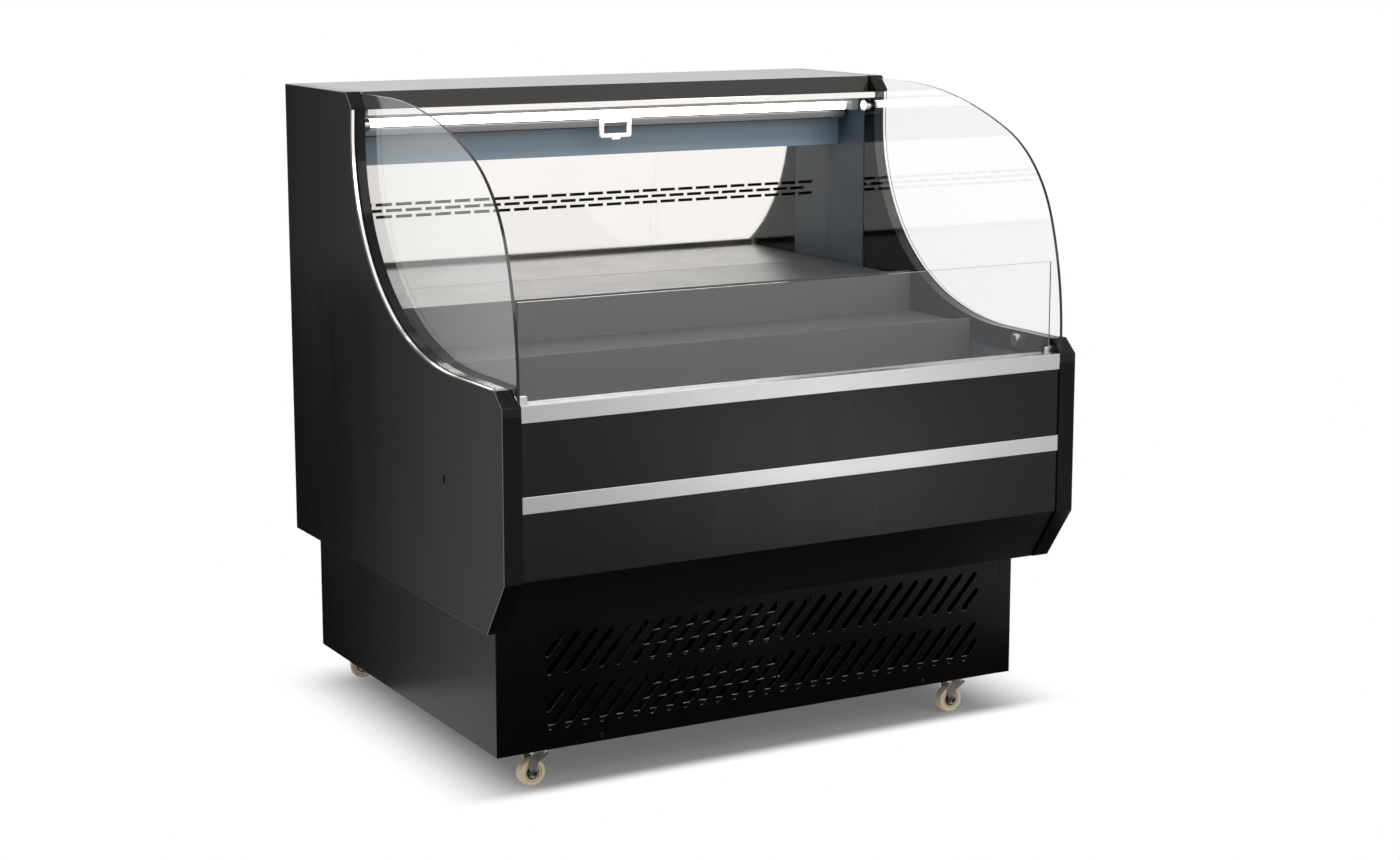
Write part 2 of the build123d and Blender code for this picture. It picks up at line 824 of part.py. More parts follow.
def blind_cassette():
    """Housing of the night blind with a slot below and a bearing at each end."""
    y0, y1 = CASSETTE_Y
    z0, z1 = CASSETTE_Z
    w = CASSETTE_WALL
    profile = polygon([
        (y0, z0),
        (y0, z1),
        (y1, z1),
        (y1, z0),
        (CLOTH_Y + SLOT_BACK, z0),
        (CLOTH_Y + SLOT_BACK, z0 + w),
        (y1 - w, z0 + w),
        (y1 - w, z1 - w),
        (y0 + w, z1 - w),
        (y0 + w, z0 + w),
        (CLOTH_Y - SLOT_FRONT, z0 + w),
        (CLOTH_Y - SLOT_FRONT, z0),
    ])
    inner = CASSETTE_HALF - CHEEK_T
    shell = along_x(profile, -inner, inner)
    cheek = block(inner, CASSETTE_HALF, y0, y1, z0, z1)
    cheek -= rod_x(inner - CUT, CASSETTE_HALF + CUT, ROLLER_Y, ROLLER_Z,
                   ROLLER_PIN_R + PIN_CLEARANCE)
    return shell + cheek + other_side(cheek)


def blind_roller():
    """Spring roller with the cloth wound on it, and its two pins."""
    core = rod_x(-BAR_HALF, BAR_HALF, ROLLER_Y, ROLLER_Z, ROLLER_R)
    pin = rod_x(BAR_HALF, CASSETTE_HALF - END_PLAY, ROLLER_Y, ROLLER_Z, ROLLER_PIN_R)
    return core + pin + other_side(pin)


def blind_cloth():
    """Straight run of cloth from the roller to the pull bar."""
    half_t = CLOTH_T / 2
    return block(-CLOTH_HALF, CLOTH_HALF, CLOTH_Y - half_t, CLOTH_Y + half_t, BAR_Z[1], CLOTH_TOP)


def blind_bar():
    """Rounded pull bar sewn to the end of the cloth."""
    y0, y1 = BAR_Y
    z0, z1 = BAR_Z
    face = Pos((y0 + y1) / 2, (z0 + z1) / 2) * RectangleRounded(y1 - y0, z1 - z0, BAR_R)
    return along_x(face, -BAR_HALF, BAR_HALF)


def blind_handle():
    """Moulded pull ring with a thumb tab."""
    outer_r, inner_r = HANDLE_R
    tab_w, tab_h, tab_r = TAB_SIZE
    ring = RectangleRounded(HANDLE_W, HANDLE_H, outer_r)
    ring -= RectangleRounded(HANDLE_W - 2 * HANDLE_BAR, HANDLE_H - 2 * HANDLE_BAR, inner_r)
    ring += Pos(0, -HANDLE_H / 2 - TAB_DROP) * RectangleRounded(tab_w, tab_h, tab_r)
    centre_z = BAR_Z[1] + 1 - HANDLE_H / 2
    return Pos(0, FRONT + BAR_Y[0], centre_z) * extrude(Plane.XZ * ring, amount=HANDLE_T)


# ---------------------------------------------------------------- fans and coils
def fan_blades(radius, hub, shaft_end):
    """Axial fan wheel about the Y axis, centred on the origin, with its shaft."""
    hub_r, hub_len = hub
    shaft = Cylinder(SHAFT_R, shaft_end, align=(Align.CENTER, Align.CENTER, Align.MIN))
    wheel = Cylinder(hub_r, hub_len, rotation=(90, 0, 0)) + Rot(-90, 0, 0) * shaft
    root = Plane.XY.offset(hub_r * 0.7) * Rot(0, 0, BLADE_TWIST)
    tip = Plane.XY.offset(radius + 4) * Rot(0, 0, BLADE_TWIST / 2)
    blade = loft([
        root * Rectangle(hub_r * 1.1, BLADE_T[0]),
        tip * Rectangle(radius * 0.55, BLADE_T[1]),
    ])
    blade = blade & Cylinder(radius, hub_len * 3, rotation=(90, 0, 0))
    for i in range(BLADE_COUNT):
        wheel = wheel + Rot(0, 360 / BLADE_COUNT * i, 0) * blade
    return wheel


def comb_fins(x_range, y_range, z_range, count, fin_t):
    """Finned block seen from above: thin upright fins on a central web."""
    x0, x1 = x_range
    y0, y1 = y_range
    z0, z1 = z_range
    pitch = (x1 - x0 - fin_t) / (count - 1)
    front_web = (y0 + y1) / 2 - 1
    back_web = front_web + 2
    starts = [x0 + i * pitch for i in range(count)]
    front = []
    back = []
    for x in starts:
        front += [(x, front_web), (x, y0), (x + fin_t, y0), (x + fin_t, front_web)]
        back += [(x, back_web), (x, y1), (x + fin_t, y1), (x + fin_t, back_web)]
    outline = front[1:-1] + back[::-1][1:-1]
    face = Pos(0, FRONT) * polygon(outline)
    return extrude(Plane.XY.offset(z0) * face, amount=z1 - z0)


def u_bend(span, radius):
    """Half-circle return bend that leaves along +X, from y = 0 to y = span."""
    section = Plane.YZ * Circle(radius)
    leg = extrude(section, amount=BEND_LEG)
    turn = revolve(section, axis=Axis((0, span / 2, 0), (0, 0, 1)), revolution_arc=180)
    return leg + Pos(BEND_LEG, 0, 0) * turn + Pos(0, span, 0) * leg


def pipe(points, radius, bend):
    """Round pipe through corner points: straight runs joined by tangent bends."""
    spots = [Vector(x, FRONT + y, z) for x, y, z in points]
    pieces = []
    start = spots[0]
    for i in range(1, len(spots)):
        ahead = (spots[i] - spots[i - 1]).normalized()
        last = i == len(spots) - 1
        onward = ahead if last else (spots[i + 1] - spots[i]).normalized()
        turn = ahead.get_angle(onward)
        setback = bend * tan(radians(turn) / 2)
        end = spots[i] - ahead * setback
        section = Circle(radius)
        run = extrude(Plane(origin=start, z_dir=ahead) * section, amount=(end - start).length)
        pieces.append(run)
        if not last:
            axle = ahead.cross(onward).normalized()
            centre = end + axle.cross(ahead) * bend
            elbow = Plane(origin=end, z_dir=ahead) * section
            pieces.append(revolve(elbow, axis=Axis(centre, axle), revolution_arc=turn))
            start = spots[i] + onward * setback
    return pieces[0] + pieces[1:]


def evaporator():
    """Finned evaporator between two end plates, with its return bends."""
    y0, y1 = COIL_Y
    z0, z1 = COIL_Z
    inner = COIL_HALF - 3
    fins = comb_fins((-inner, inner), (y0 + 4, y1 - 4), (z0 + 8, z1 - 6), COIL_FINS, COIL_FIN_T)
    plate = block(inner, inner + END_PLATE_T, y0, y1, TUB_FLOOR, z1)
    bends = []
    for row in range(COIL_ROWS):
        spot = Pos(inner + END_PLATE_T, FRONT + y0 + COIL_TUBE_Y, z0 + 28 + row * COIL_ROW_PITCH)
        bends.append(spot * u_bend(COIL_BEND, COIL_TUBE_R))
    return [fins, plate, other_side(plate)] + bends


def evaporator_baffle():
    """Upright plate with a round mouth and a motor on struts for each fan."""
    y = BAFFLE_Y
    z = EVAP_FAN_Z
    mouth_r = EVAP_FAN_R + MOUTH_GAP
    reach = EVAP_FAN_R + STRUT_REACH
    strut_z = (z - STRUT_HALF_H, z + STRUT_HALF_H)
    plate = block(-DECK_HALF, DECK_HALF, y, y + SHEET, TUB_FLOOR, SUPPORT_FOOT)
    for x in (-EVAP_FAN_X, EVAP_FAN_X):
        ring = rod_y(x, y - EVAP_MOUTH_DEPTH, y + SHEET, z, mouth_r + MOUTH_WALL)
        motor = rod_y(x, y + EVAP_MOTOR_Y[0], y + EVAP_MOTOR_Y[1], z, EVAP_MOTOR_R)
        strut = block(x - reach, x + reach, y + STRUT_Y[0], y + STRUT_Y[1], *strut_z)
        leg = block(x - reach, x - reach + STRUT_Y[1] - STRUT_Y[0], y, y + STRUT_Y[1], *strut_z)
        far_leg = Pos(2 * reach - (STRUT_Y[1] - STRUT_Y[0]), 0, 0) * leg
        mouth = rod_y(x, y - EVAP_MOUTH_DEPTH - CUT, y + SHEET + CUT, z, mouth_r)
        bore = rod_y(x, y + EVAP_MOTOR_Y[0] - CUT, y + EVAP_SHAFT_END + 4, z, SHAFT_R + PIN_CLEARANCE)
        plate = plate + ring - mouth + motor + strut + leg + far_leg - bore
    return plate


# ---------------------------------------------------------------- base
def base_chassis():
    """Folded floor pan with four angle posts that carry the cold well."""
    y0 = BASE_Y[0] + SHEET
    y1 = BASE_Y[1] - SHEET
    x1 = BASE_HALF - SHEET
    z0 = BASE_BOTTOM
    pan = block(-x1, x1, y0, y1, z0, z0 + PAN_H)
    pan -= block(-x1 + SHEET, x1 - SHEET, y0 + SHEET, y1 - SHEET, z0 + SHEET, z0 + PAN_H + CUT)
    for y, front in ((y0, True), (y1 - ANGLE_W, False)):
        post = block(x1 - ANGLE_W, x1, y, y + ANGLE_W, z0, TUB_BOTTOM)
        cut_y = y + ANGLE_T if front else y
        post -= block(x1 - ANGLE_W, x1 - ANGLE_T, cut_y, cut_y + ANGLE_W - ANGLE_T,
                      z0 + SHEET, TUB_BOTTOM + CUT)
        pan = pan + post + other_side(post)
    for x in (-SCREW_SPOT[0], SCREW_SPOT[0]):
        pan -= rod_y(x, y0 - CUT, y0 + SHEET + CUT, SCREW_SPOT[1], SCREW_HOLE_R)
    return pan


def base_side():
    """Folded side sheet of the base, wrapped round both corners."""
    y0, y1 = BASE_Y
    x1 = BASE_HALF
    sheet = block(x1 - FLANGE, x1, y0, y1, BASE_BOTTOM, PANEL_BOTTOM)
    hollow = block(x1 - FLANGE - CUT, x1 - SHEET, y0 + SHEET, y1 - SHEET,
                   BASE_BOTTOM - CUT, PANEL_BOTTOM + CUT)
    side = sheet - hollow
    corners = side.edges().filter_by(Axis.Z).group_by(Axis.X)[-1]
    return fillet(corners, BASE_EDGE_R)


def vent_slots(z0, z1):
    """One row of leaning slots; the row starts and ends with half a slot."""
    rise = z1 - z0
    length = hypot(VENT_RUN, rise)
    lean = atan2(rise, VENT_RUN)
    slots = []
    for i in range(VENT_COUNT):
        side = {0: 1, VENT_COUNT - 1: -1}.get(i, 0)
        share = VENT_HALF if side else 1.0
        shift = side * length * (1 - share) / 2
        x = VENT_LEFT + (VENT_W + VENT_RUN) / 2 + (i - 1) * VENT_PITCH
        spot = Pos(x + shift * cos(lean), (z0 + z1) / 2 + shift * sin(lean))
        slots.append(spot * Rot(0, 0, degrees(lean)) * SlotOverall(length * share, VENT_W))
    return slots


def front_grille():
    """Removable front panel of the base, with two rows of leaning vents."""
    width = 2 * (BASE_HALF - FLANGE - SEAM)
    height = PANEL_BOTTOM - BASE_BOTTOM - SHEET
    sheet = Pos(0, BASE_BOTTOM + SHEET + height / 2) * Rectangle(width, height)
    cuts = []
    for z0, z1 in VENT_ROWS_Z:
        cuts += vent_slots(z0, z1)
    for x in (-SCREW_SPOT[0], SCREW_SPOT[0]):
        cuts.append(Pos(x, SCREW_SPOT[1]) * Circle(SCREW_HOLE_R))
    face = Plane.XZ * (sheet - cuts)
    return Pos(0, FRONT + BASE_Y[0] + SHEET, 0) * extrude(face, amount=SHEET)


def grille_screws():
    """Two pan-head screws at the foot of the front grille."""
    face_y = BASE_Y[0]
    screws = []
    for x in (-SCREW_SPOT[0], SCREW_SPOT[0]):
        head = rod_y(x, face_y - SCREW_HEAD[1], face_y, SCREW_SPOT[1], SCREW_HEAD[0])
        shank = rod_y(x, face_y, face_y + SCREW_SHANK[1], SCREW_SPOT[1], SCREW_SHANK[0])
        screws.append(head + shank)
    return screws


def rear_grille():
    """Rear panel of the base with rows of level vents and two cut-outs."""
    x1 = BASE_HALF - FLANGE - SEAM
    y0 = BASE_Y[1] - SHEET
    y1 = BASE_Y[1]
    cut_y = (y0 - CUT, y1 + CUT)
    plate = block(-x1, x1, y0, y1, BASE_BOTTOM + SHEET, PANEL_BOTTOM)
    half_w = REAR_VENT_SIZE[0] / 2
    half_h = REAR_VENT_SIZE[1] / 2
    cuts = []
    for row in range(REAR_VENT_ROWS):
        z = REAR_VENT_Z + row * REAR_VENT_PITCH
        for x in REAR_VENT_X:
            cuts.append(block(x - half_w, x + half_w, *cut_y, z - half_h, z + half_h))
    hole_w, hole_h = SWITCH_HOLE
    cuts.append(block(SWITCH_X - hole_w, SWITCH_X + hole_w, *cut_y,
                      SWITCH_Z - hole_h, SWITCH_Z + hole_h))
    cuts.append(rod_y(SWITCH_X, *cut_y, GLAND_Z, GLAND_HOLE_R))
    return plate - cuts


# ---------------------------------------------------------------- control box
def around_switch(half, y0, y1):
    """Block centred on the switch, from y0 to y1."""
    half_w, half_h = half
    return block(SWITCH_X - half_w, SWITCH_X + half_w, y0, y1, SWITCH_Z - half_h, SWITCH_Z + half_h)


def switch_frame(back, face):
    """Snap-in frame of the switch: bezel outside the panel, open well inside."""
    body = around_switch(FRAME_HALF, back - 1, face + 1)
    body = fillet(body.edges().filter_by(Axis.Y), 1)
    bezel = around_switch(BEZEL_HALF, face, face + BEZEL_T)
    well = around_switch(WELL_HALF, back - WELL_DEPTH, face + FRAME_RISE + CUT)
    return body + bezel - well


def cable_gland(back, face):
    """Round gland through the rear panel, with a bore for the supply."""
    flange_r, flange_t = GLAND_FLANGE
    dome_r, dome_end, dome_chamfer = GLAND_DOME
    thread = rod_y(SWITCH_X, back - 1, face, GLAND_Z, GLAND_THREAD_R)
    flange = rod_y(SWITCH_X, face, face + flange_t, GLAND_Z, flange_r)
    dome = rod_y(SWITCH_X, face + flange_t, face + dome_end, GLAND_Z, dome_r)
    dome = chamfer(dome.edges().filter_by(GeomType.CIRCLE).sort_by(Axis.Y)[-1], dome_chamfer)
    bore = rod_y(SWITCH_X, face - SEAM, face + dome_end + CUT, GLAND_Z, GLAND_BORE_R)
    return thread + flange + dome - bore


def control_box():
    """Control box behind the rear grille, its switch frame and its cable gland."""
    face = BASE_Y[1]
    back = face - SHEET
    x0, x1 = BOX_X
    z0, z1 = BOX_Z
    lid_y = back - 1 - BOX_DEPTH
    box = block(x0, x1, lid_y, back - 1, z0, z1)
    lid = block(x0 - LID_LAP, x1 + LID_LAP, lid_y - LID_T, lid_y, z0 - LID_LAP, z1 + LID_LAP)
    hollow = around_switch((SWITCH_HOLE[0], WELL_HALF[1] + 3), back - WELL_DEPTH - 4, back)
    return [box - hollow, lid, switch_frame(back, face), cable_gland(back, face)]


def power_switch():
    """Rocker of the main switch; its rounded back hides the pivot."""
    y = SWITCH_PIVOT_Y
    half_w, half_h = ROCKER_HALF
    depth, waist = ROCKER_BACK
    profile = polygon([
        (y - depth, SWITCH_Z - waist),
        (y, SWITCH_Z - half_h),
        (y + ROCKER_FRONT, SWITCH_Z - half_h),
        (y + ROCKER_DISH, SWITCH_Z),
        (y + ROCKER_FRONT, SWITCH_Z + half_h),
        (y, SWITCH_Z + half_h),
        (y - depth, SWITCH_Z + waist),
    ])
    return along_x(profile, SWITCH_X - half_w, SWITCH_X + half_w)


# ---------------------------------------------------------------- condensing unit
def condenser():
    """Condenser behind the front vents: fins, framed tube row and return bends."""
    x0, x1 = COND_X
    y0, y1 = COND_Y
    z0, z1 = COND_Z
    fin_y = (COND_TUBE_Y + COND_TUBE_R + 1, y1 - 1)
    fins = comb_fins((x0 + 3, x1 - 3), fin_y, (z0 + 4, z1 - 4), COND_FINS, COND_FIN_T)
    floor = BASE_BOTTOM + SHEET
    frame = block(x0 + 1, x0 + 1 + END_PLATE_T, y0, y1, floor, z1)
    frame += block(x1 - 3, x1 - 3 + END_PLATE_T, y0, y1, floor, z1)
    bends = []
    for row in range(COND_ROWS):
        z = COND_ROW_Z + row * COND_ROW_PITCH
        frame += rod_x(x0 + 2, x1 - 2, COND_TUBE_Y, z, COND_TUBE_R)
        bends.append(Pos(x1 - 1, FRONT + COND_TUBE_Y, z) * u_bend(COND_BEND, COND_TUBE_R))
    return [fins, frame] + bends


def condenser_shroud():
    """Fan shroud behind the condenser, and the motor on its bracket."""
    x0, x1 = COND_X
    xc = (x0 + x1) / 2
    zc = COND_FAN_Z
    y = COND_Y[1]
    floor = BASE_BOTTOM + SHEET
    mouth_r = COND_FAN_R + MOUTH_GAP
    plate = block(x0 + 2, x1 - 2, y, y + SHEET, floor, COND_Z[1])
    plate += rod_y(xc, y, y + SHROUD_DEPTH, zc, mouth_r + MOUTH_WALL)
    plate -= rod_y(xc, y - CUT, y + SHROUD_DEPTH + CUT, zc, mouth_r)
    nose_r, nose_y = MOTOR_NOSE
    half_w, foot_y, foot_t = MOTOR_FOOT
    motor = rod_y(xc, y + COND_MOTOR_Y[0], y + COND_MOTOR_Y[1], zc, COND_MOTOR_R)
    motor += rod_y(xc, y + nose_y, y + COND_MOTOR_Y[0], zc, nose_r)
    motor += block(xc - half_w, xc + half_w, y + foot_y, y + foot_y + foot_t, floor, zc - 30)
    motor += block(xc - half_w, xc + half_w, y + foot_y, y + MOTOR_TOE_Y, floor, floor + SHEET)
    bore_end = COND_FAN_SETBACK + COND_SHAFT_END + 2
    motor -= rod_y(xc, y + nose_y - CUT, y + bore_end, zc, SHAFT_R + PIN_CLEARANCE)
    return [plate, motor]


def compressor_shell():
    """Domed steel shell with its weld band, standing on the origin."""
    r = COMP_R
    band_z, band_h, band_out = COMP_BAND
    half = make_face([
        Line((0, 0), (r - 14, 0)),
        ThreePointArc((r - 14, 0), (r - 3.5, 5), (r, 16)),
        Polyline(
            (r, 16),
            (r, band_z),
            (r + band_out, band_z),
            (r + band_out, band_z + band_h),
            (r, band_z + band_h),
            (r, COMP_SHOULDER),
        ),
        ThreePointArc((r, COMP_SHOULDER), (r * 0.78, COMP_H - 17), (0, COMP_H)),
        Line((0, COMP_H), (0, 0)),
    ])
    return Rot(0, 0, 90) * revolve(Plane.XZ * half, axis=Axis.Z)


def compressor():
    """Hermetic compressor: shell, terminal cover, rails, stubs and rubber feet."""
    r = COMP_R
    floor = BASE_BOTTOM + SHEET
    z0 = floor + COMP_LIFT
    cover = Pos(r + 8, 0, TERMINAL_Z) * Box(*TERMINAL_BOX)
    cover = fillet(cover.edges().filter_by(Axis.Z).group_by(Axis.X)[-1], 6)
    rail_t = COMP_RAIL[2]
    rails = Pos(0, 0, -rail_t / 2) * Box(*COMP_RAIL)
    body = Pos(COMP_X, FRONT + COMP_Y, z0) * (compressor_shell() + cover + rails)
    out_r, in_r = STUB_R
    body += rod_x(COMP_X - r - STUB, COMP_X - r + 6, COMP_Y, STUB_Z, out_r)
    body += rod_y(COMP_X, COMP_Y + r - 6, COMP_Y + r + STUB, STUB_Z - SUCTION_DROP, in_r)
    foot_x, foot_y, foot_r = COMP_FOOT
    feet = []
    for x in (COMP_X - foot_x, COMP_X + foot_x):
        for y in (COMP_Y - foot_y, COMP_Y + foot_y):
            feet.append(rod_z(x, y, floor, z0 - rail_t, foot_r))
    return [body] + feet


def pipework():
    """Discharge, liquid and suction lines, and the filter drier."""
    face = COND_X[1] - 1
    back_row = COND_TUBE_Y + COND_BEND / 2
    top = COND_Z[1] - 12
    low = COND_Z[0] + 12
    start_x = COMP_X - COMP_R - STUB
    drop_x = start_x - 48
    turn_x = drop_x - 50
    run_y = DISCHARGE_RUN_Y
    discharge = pipe([
        (start_x, COMP_Y, STUB_Z),
        (drop_x, COMP_Y, STUB_Z),
        (drop_x, run_y, STUB_Z),
        (drop_x, run_y, top),
        (turn_x, run_y, top),
        (turn_x, back_row, top),
        (face, back_row, top),
    ], DISCHARGE_R, SMALL_BEND)
    x, y = DRIER_SPOT
    drier = rod_z(x, y, *DRIER_Z, DRIER_R)
    drier = chamfer(drier.edges().filter_by(GeomType.CIRCLE), 5)
    liquid = pipe([
        (face, back_row, low),
        (x, back_row, low),
        (x, y, low),
        (x, y, DRIER_Z[0]),
    ], LIQUID_R, SMALL_BEND)
    riser_x, riser_y = RISER_SPOT
    riser = pipe([
        (x, y, DRIER_Z[1]),
        (x, y, LINE_TOP),
        (x, riser_y, LINE_TOP),
        (riser_x, riser_y, LINE_TOP),
        (riser_x, riser_y, TUB_BOTTOM),
    ], LIQUID_R, SMALL_BEND)
    suction_z = STUB_Z - SUCTION_DROP
    rise_y = COMP_Y + COMP_R + 70
    suction = pipe([
        (COMP_X, COMP_Y + COMP_R + STUB, suction_z),
        (COMP_X, rise_y, suction_z),
        (COMP_X, rise_y, TUB_BOTTOM),
    ], SUCTION_R, SUCTION_BEND)
    return [discharge, liquid, drier, riser, suction]


def drain_tray():
    """Shallow tray on the floor pan where melt water evaporates."""
    x0, x1 = TRAY_X
    y0, y1 = TRAY_Y
    floor = BASE_BOTTOM + SHEET
    tray = block(x0, x1, y0, y1, floor, floor + TRAY_H)
    return tray - block(x0 + SHEET, x1 - SHEET, y0 + SHEET, y1 - SHEET,
                        floor + SHEET, floor + TRAY_H + CUT)


# ---------------------------------------------------------------- casters
def upright(radius, z_range):
    """Cylinder on the swivel axis between two heights."""
    z0, z1 = z_range
    return Pos(0, 0, (z0 + z1) / 2) * Cylinder(radius, z1 - z0)


def caster_plate():
    """Top plate with corner bolts, upper race and riveted kingpin."""
    length, width, thick = PLATE_SIZE
    plate = Pos(0, 0, BASE_BOTTOM - thick / 2) * Box(length, width, thick)
    plate = fillet(plate.edges().filter_by(Axis.Z), PLATE_R)
    head_r, head_z0, head_z1 = PIN_HEAD
    plate += upright(RACE_R, UPPER_RACE_Z)
    plate += upright(AXLE_R, KINGPIN_Z)
    plate += upright(head_r, (head_z0, head_z1))
    bolt_r, bolt_h = BOLT_HEAD
    bolt = extrude(RegularPolygon(bolt_r, 6), amount=bolt_h)
    for x in (-BOLT_SPOT[0], BOLT_SPOT[0]):
        for y in (-BOLT_SPOT[1], BOLT_SPOT[1]):
            plate += Pos(x, y, BASE_BOTTOM - thick - bolt_h) * bolt
    return plate


def leg_outline():
    """Side view of a yoke leg: wide at the race, straight-sided and round at the axle."""
    low_z, waist_z, back_z = YOKE_SHOULDER
    leg = polygon([
        (-YOKE_HALF, YOKE_TOP),
        (-YOKE_HALF, low_z),
        (TRAIL - EYE_R, waist_z),
        (TRAIL - EYE_R, WHEEL_R),
        (TRAIL + EYE_R, WHEEL_R),
        (TRAIL + EYE_R, back_z),
        (YOKE_HALF, YOKE_TOP),
    ])
    return leg + Pos(TRAIL, WHEEL_R) * Circle(EYE_R)


def caster_fork():
    """Swivel race, pressed yoke and axle bolt with its nut."""
    gap = WHEEL_W / 2 + 2
    side = gap + YOKE_T
    leg = extrude(Plane.XZ * leg_outline(), amount=YOKE_T)
    yoke = Pos(0, -gap, 0) * leg + Pos(0, side, 0) * leg
    yoke += Pos(0, 0, YOKE_TOP - YOKE_T / 2) * Box(2 * YOKE_HALF, 2 * side, YOKE_T)
    race = upright(RACE_R, LOWER_RACE_Z)
    yoke += chamfer(race.edges().filter_by(GeomType.CIRCLE).sort_by(Axis.Z)[-1], 1.2)
    yoke -= upright(AXLE_R + PIN_CLEARANCE, (YOKE_TOP - YOKE_T - CUT, LOWER_RACE_Z[1] + CUT))
    head_h, nut_h = NUT_H
    hexagon = Plane.XZ * RegularPolygon(NUT_R, 6)
    yoke += Pos(TRAIL, 0, WHEEL_R) * Cylinder(AXLE_R, 2 * side, rotation=(90, 0, 0))
    yoke += Pos(TRAIL, -side, WHEEL_R) * extrude(hexagon, amount=head_h)
    yoke += Pos(TRAIL, side + nut_h, WHEEL_R) * extrude(hexagon, amount=nut_h)
    return yoke


def caster_wheel():
    """Solid wheel with rounded tread, dished faces and a bored hub."""
    bore = AXLE_R + AXLE_GAP
    half = WHEEL_W / 2
    hub = half + HUB_PROUD
    dish = half - DISH_DEEP
    inner, outer = DISH_R
    shoulder = WHEEL_R - TREAD_R
    tread = half - TREAD_R
    profile = make_face([
        Polyline(
            (shoulder, half),
            (outer + 1, half),
            (outer, dish),
            (inner, dish),
            (HUB_R, hub),
            (bore, hub),
            (bore, -hub),
            (HUB_R, -hub),
            (inner, -dish),
            (outer, -dish),
            (outer + 1, -half),
            (shoulder, -half),
        ),
        RadiusArc((shoulder, -half), (WHEEL_R, -tread), -TREAD_R),
        Line((WHEEL_R, -tread), (WHEEL_R, tread)),
        RadiusArc((WHEEL_R, tread), (shoulder, half), -TREAD_R),
    ])
    return Pos(TRAIL, 0, WHEEL_R) * revolve(profile, axis=Axis.Y)


# ---------------------------------------------------------------- build
def build_ends():
    panel = side_panel()
    save("side_panel_right", panel)
    save("side_panel_left", other_side(panel))
    rim = side_rim()
    save("side_rims", rim, other_side(rim))
    caps = end_caps()
    save("panel_end_caps", *caps, *[other_side(c) for c in caps])
    pane = end_glass()
    save("end_glass_right", pane)
    save("end_glass_left", other_side(pane))
    save("front_glass", front_pane())
    fixings = glass_knobs() + [riser_clip()]
    save("glass_fixings", *fixings, *[other_side(f) for f in fixings])
    plugs = side_plugs(PLUG_SINK)
    save("panel_fasteners", *plugs, *[other_side(p) for p in plugs], *grille_screws())


def build_front():
    save("front_top_trim", top_trim())
    save("front_skirt", skirt())
    for name, heights, face_y, wall in (
        ("front_mid_trim", MID_TRIM_Z, TRIM_FACE_Y, TRIM_WALL),
        ("front_panel_upper", UPPER_PANEL_Z, PANEL_FACE_Y, SHEET),
        ("front_panel_lower", LOWER_PANEL_Z, PANEL_FACE_Y, SHEET),
    ):
        profile = tray_profile(*heights, face_y, wall)
        save(name, along_x(profile, -BODY_HALF, BODY_HALF))


def build_well():
    save("insulated_tub", insulated_tub())
    cheek = side_liner()
    save("side_liners", cheek, other_side(cheek))
    save("rear_inner_wall", inner_wall())
    save("rear_outer_panel", rear_panel())
    for index, name in enumerate(("deck_front", "deck_middle", "deck_rear")):
        save(name, deck(index))
    support = deck_support()
    save("deck_supports", support, other_side(support))
    save("return_air_grille", return_grille())


def build_canopy():
    save("canopy_top", roof())
    save("canopy_fascia", fascia())
    save("canopy_rail", canopy_rail())
    save("canopy_liner", canopy_liner())
    save("air_honeycomb", honeycomb())
    save("led_tube", lamp_tube())
    save("led_holder", *lamp_holder())
    save("blind_cassette", blind_cassette())
    save("blind_roller", blind_roller())
    save("blind_cloth", blind_cloth())
    save("blind_bar", blind_bar())
    save("blind_handle", blind_handle())


def build_cooling():
    save("evaporator_coil", *evaporator())
    save("evaporator_fan_baffle", evaporator_baffle())
    wheel = fan_blades(EVAP_FAN_R, EVAP_HUB, EVAP_SHAFT_END)
    for name, x in (("left", -EVAP_FAN_X), ("right", EVAP_FAN_X)):
        save(f"evaporator_fan_{name}", Pos(x, FRONT + BAFFLE_Y + SHEET, EVAP_FAN_Z) * wheel)
    save("condenser_coil", *condenser())
    save("condenser_fan_shroud", *condenser_shroud())
    fan = fan_blades(COND_FAN_R, COND_HUB, COND_SHAFT_END)
    fan_spot = Pos(sum(COND_X) / 2, FRONT + COND_Y[1] + COND_FAN_SETBACK, COND_FAN_Z)
    save("condenser_fan_blades", fan_spot * fan)
    save("compressor", *compressor())
    save("refrigerant_pipes", *pipework())
    save("drain_tray", drain_tray())
    save("control_box", *control_box())
    save("power_switch", power_switch())


def build_base():
    save("base_chassis", base_chassis())
    side = base_side()
    save("base_side_panels", side, other_side(side))
    save("base_front_grille", front_grille())
    save("base_rear_grille", rear_grille())
    plate = caster_plate()
    fork = caster_fork()
    wheel = caster_wheel()
    plates = []
    for name, (x, y, turn) in CASTERS.items():
        place = Pos(x, FRONT + y, 0)
        swing = place * Rot(0, 0, turn)
        plates.append(place * plate)
        save(f"caster_fork_{name}", swing * fork)
        save(f"caster_wheel_{name}", swing * wheel)
    save("caster_plates", *plates)


os.makedirs(PARTS, exist_ok=True)
build_ends()
build_front()
build_well()
build_canopy()
build_cooling()
build_base()
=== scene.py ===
import json
import math

import bmesh
import bpy
from mathutils import Matrix, Vector


